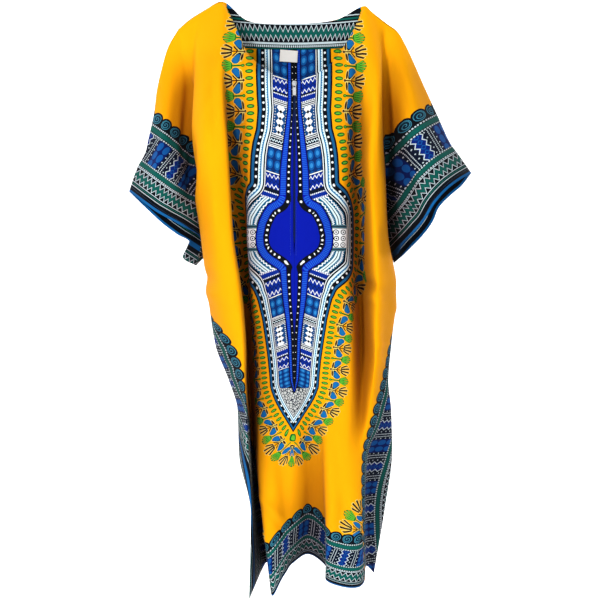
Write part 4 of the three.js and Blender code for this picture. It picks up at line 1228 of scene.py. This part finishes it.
def along_lines(name, lines, normals, pitch, make_one, material):
    """Copies of one small shape along lines of the cloth, set every pitch, as one plain mesh."""
    mesh = bpy.data.meshes.new(name + "_lines")
    points, edges = [], []
    for line in lines:
        start = len(points)
        points.extend(line * 0.001)
        edges.extend((start + k, start + k + 1) for k in range(len(line) - 1))
    mesh.from_pydata([tuple(p) for p in points], edges, [])
    layer = mesh.attributes.new("out_of_cloth", "FLOAT_VECTOR", "POINT")
    layer.data.foreach_set("vector", np.concatenate(normals).astype(float).ravel())
    holder = into_scene(name + "_path", mesh)
    tree = bpy.data.node_groups.new(name + "_along", "GeometryNodeTree")
    tree.interface.new_socket("Path", in_out="INPUT", socket_type="NodeSocketGeometry")
    tree.interface.new_socket("Pitch", in_out="INPUT", socket_type="NodeSocketFloat")
    tree.interface.new_socket("Finish", in_out="INPUT", socket_type="NodeSocketMaterial")
    tree.interface.new_socket("Made", in_out="OUTPUT", socket_type="NodeSocketGeometry")
    new, link = tree.nodes.new, tree.links.new
    source, result = new("NodeGroupInput"), new("NodeGroupOutput")
    capture = new("GeometryNodeInputNamedAttribute")
    capture.data_type = "FLOAT_VECTOR"
    capture.inputs["Name"].default_value = "out_of_cloth"
    curve = new("GeometryNodeMeshToCurve")
    spaced = new("GeometryNodeCurveToPoints")
    spaced.mode = "LENGTH"
    link(source.outputs["Path"], curve.inputs["Mesh"])
    link(curve.outputs["Curve"], spaced.inputs["Curve"])
    link(source.outputs["Pitch"], spaced.inputs["Length"])
    turn = new("FunctionNodeAxesToRotation")
    turn.primary_axis, turn.secondary_axis = "X", "Z"
    link(spaced.outputs["Tangent"], turn.inputs["Primary Axis"])
    link(capture.outputs["Attribute"], turn.inputs["Secondary Axis"])
    shape = make_one(tree)
    placed = new("GeometryNodeInstanceOnPoints")
    link(spaced.outputs["Points"], placed.inputs["Points"])
    link(shape, placed.inputs["Instance"])
    link(turn.outputs["Rotation"], placed.inputs["Rotation"])
    real, finish = new("GeometryNodeRealizeInstances"), new("GeometryNodeSetMaterial")
    link(placed.outputs["Instances"], real.inputs["Geometry"])
    link(real.outputs["Geometry"], finish.inputs["Geometry"])
    link(source.outputs["Finish"], finish.inputs["Material"])
    link(finish.outputs["Geometry"], result.inputs["Made"])
    modifier = holder.modifiers.new("along", "NODES")
    modifier.node_group = tree
    modifier[socket_name(tree, "Pitch")] = pitch * 0.001
    modifier[socket_name(tree, "Finish")] = material
    evaluated = holder.evaluated_get(bpy.context.evaluated_depsgraph_get())
    made = bpy.data.meshes.new_from_object(evaluated)
    made.name = name
    piece = into_scene(name, made)
    bpy.data.objects.remove(holder)
    return piece


def stitch_shape(length, width):
    """A thread laid between two holes: a low rounded bar along X, standing out along Z."""
    def make(tree):
        bar = tree.nodes.new("GeometryNodeMeshUVSphere")
        bar.inputs["Segments"].default_value, bar.inputs["Rings"].default_value = 6, 5
        bar.inputs["Radius"].default_value = 0.001
        size = tree.nodes.new("GeometryNodeTransform")
        size.inputs["Scale"].default_value = (length / 2, width / 2, width / 2.4)
        tree.links.new(bar.outputs["Mesh"], size.inputs["Geometry"])
        return size.outputs["Geometry"]
    return make


def tooth_shape(tree):
    """One coil of the zip: a short rounded link across the opening."""
    bar = tree.nodes.new("GeometryNodeMeshCylinder")
    bar.inputs["Vertices"].default_value = 8
    bar.inputs["Radius"].default_value = 0.00042
    bar.inputs["Depth"].default_value = 0.0034
    turned = tree.nodes.new("GeometryNodeTransform")
    turned.inputs["Rotation"].default_value = (math.radians(90), 0, math.radians(16))
    tree.links.new(bar.outputs["Mesh"], turned.inputs["Geometry"])
    return turned.outputs["Geometry"]


# ---- finishes -----------------------------------------------------------------------------------

cotton, facing_print = printed_cotton(), border_print()
label_satin = plain_weave("label_satin", dye(232, 230, 226), dye(214, 212, 210), 0.35, 0.45)
zip_weave = plain_weave("zip_weave", dye(8, 38, 92), dye(5, 22, 58), 0.5, 0.8)
metal = worn_metal()
thread = sewing_thread()
for piece, finish in ((front_cloth, cotton), (back_cloth, cotton), (facing_cloth, facing_print),
                      (label_tab, label_satin), (tape_left, zip_weave), (tape_right, zip_weave)):
    piece.data.materials.append(finish)
for node in ("zip_slider", "zip_pull"):
    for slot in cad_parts[node].material_slots:
        slot.material = metal


def inset(panel, outer, inner, share):
    """A line on the cloth between its edge and the next line of points in, lifted just off it."""
    line = panel.places[outer] * (1 - share) + panel.places[inner] * share
    normal = unit(panel.normals[outer] * (1 - share) + panel.normals[inner] * share)
    return line + normal * STITCH_LIFT, normal


def seam_rows(panel, at_hem, at_cuff, at_neck):
    lines = [inset(panel, panel.index[ROWS - at_hem], panel.index[ROWS - at_hem - 1], 0.4)]
    for hand in ("left", "right"):
        grid = panel.sleeve_index[hand]
        lines.append(inset(panel, grid[:, -1 - at_cuff], grid[:, -2 - at_cuff], 0.4))
    neck = slice(SHOULDER + 1, panel.index.shape[1] - SHOULDER - 1)
    if panel.side == "front":
        for part in (slice(neck.start, panel.centre - 1), slice(panel.centre + 2, neck.stop)):
            lines.append(inset(panel, panel.index[at_neck, part], panel.index[at_neck + 1, part], 0.3))
        for step in (-1, 1):
            column = panel.centre + step
            rows = np.arange(1, ZIP_END + 1)
            lines.append(inset(panel, panel.index[rows, column], panel.index[rows, column + step], 0.15))
    else:
        lines.append(inset(panel, panel.index[at_neck, neck], panel.index[at_neck + 1, neck], 0.3))
    return [line for line, _ in lines], [normal for _, normal in lines]


STITCH_PITCH, STITCH_LENGTH, STITCH_WIDTH, TOOTH_PITCH = 3.2, 2.3, 0.55, 1.3
stitches = []
for panel, name in ((front, "front_stitching"), (back, "back_stitching")):
    lines, normals = seam_rows(panel, 1, 1, 1)
    one = stitch_shape(STITCH_LENGTH, STITCH_WIDTH)
    stitches.append(along_lines(name, lines, normals, STITCH_PITCH, one, thread))
middle = (front.places[front.index[:ZIP_END - 3, front.centre]]
          + front.places[front.right_edge[:ZIP_END - 3]]) / 2
normal = front.normals[front.index[:ZIP_END - 3, front.centre]]
teeth = along_lines("zip_teeth", [middle - normal * 1.5], [normal], TOOTH_PITCH, tooth_shape, zip_weave)

# ---- what the frame is told ---------------------------------------------------------------------

for piece in (front_cloth, back_cloth, facing_cloth, label_tab, tape_left, tape_right, teeth, *stitches):
    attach(piece, "kaftan")
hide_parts("front_panel")
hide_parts("back_panel")
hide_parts("back_neck_facing")
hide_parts("neck_label")
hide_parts("zip_tape_left")
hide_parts("zip_tape_right")

# ---- room, light and camera ---------------------------------------------------------------------


FLOOR, FLOOR_END, CURVE = -1.42, 4.6, 0.9


def backdrop():
    """A pale floor that curves up into a pale wall."""
    profile = [(-8.0, FLOOR), (FLOOR_END, FLOOR)]
    profile += [(FLOOR_END + CURVE * math.sin(a), FLOOR + CURVE - CURVE * math.cos(a))
                for a in np.linspace(0, math.pi / 2, 13)[1:]]
    profile.append((FLOOR_END + CURVE, 6.0))
    places = np.array([[(x, y, z) for x in (-14.0, 14.0)] for y, z in profile])
    mesh = bpy.data.meshes.new("floor_and_wall")
    verts = [tuple(p) for p in places.reshape(-1, 3)]
    mesh.from_pydata(verts, [], [(2 * k, 2 * k + 1, 2 * k + 3, 2 * k + 2) for k in range(len(profile) - 1)])
    mesh.polygons.foreach_set("use_smooth", [True] * len(mesh.polygons))
    stage = into_scene("floor_and_wall", mesh)
    material, _, shader = new_material("pale_floor", 0.9, 0.1)
    shader.inputs["Base Color"].default_value = (0.92, 0.92, 0.92, 1)
    mesh.materials.append(material)


def soft_box(name, place, target, size, power):
    light = bpy.data.lights.new(name, "AREA")
    light.shape, light.size, light.energy = "DISK", size, power
    lamp = into_scene(name, light)
    lamp.location = place
    aim = np.array(target, float) - np.array(place, float)
    lamp.rotation_euler = Vector(aim).to_track_quat("-Z", "Y").to_euler()


backdrop()
soft_box("key_light", (-1.9, -3.1, 1.0), (0, 0, -0.55), 0.7, 112)
soft_box("fill_light", (1.3, -3.6, 0.3), (0, 0, -0.6), 1.2, 26)
soft_box("wall_light_left", (-3.6, 2.2, 2.2), (0.9, 5.0, -0.9), 1.6, 260)
soft_box("wall_light_right", (3.6, 2.2, 2.2), (-0.9, 5.0, -0.9), 1.6, 260)
soft_box("back_light", (1.6, 3.4, 1.0), (0, 0, -0.6), 1.2, 70)
world = bpy.data.worlds.new("studio")
bpy.context.scene.world = world
world.use_nodes = True
world.node_tree.nodes["Background"].inputs["Color"].default_value = (1, 1, 1, 1)
world.node_tree.nodes["Background"].inputs["Strength"].default_value = 0.3
bpy.context.scene.view_settings.view_transform = "Standard"

camera = bpy.data.cameras.new("camera")
camera.lens, camera.sensor_width = 90, 36
view = into_scene("camera", camera)
view.location = (0.011, -3.0, -0.592)
view.rotation_euler = (math.radians(90), 0, 0)
bpy.context.scene.camera = view
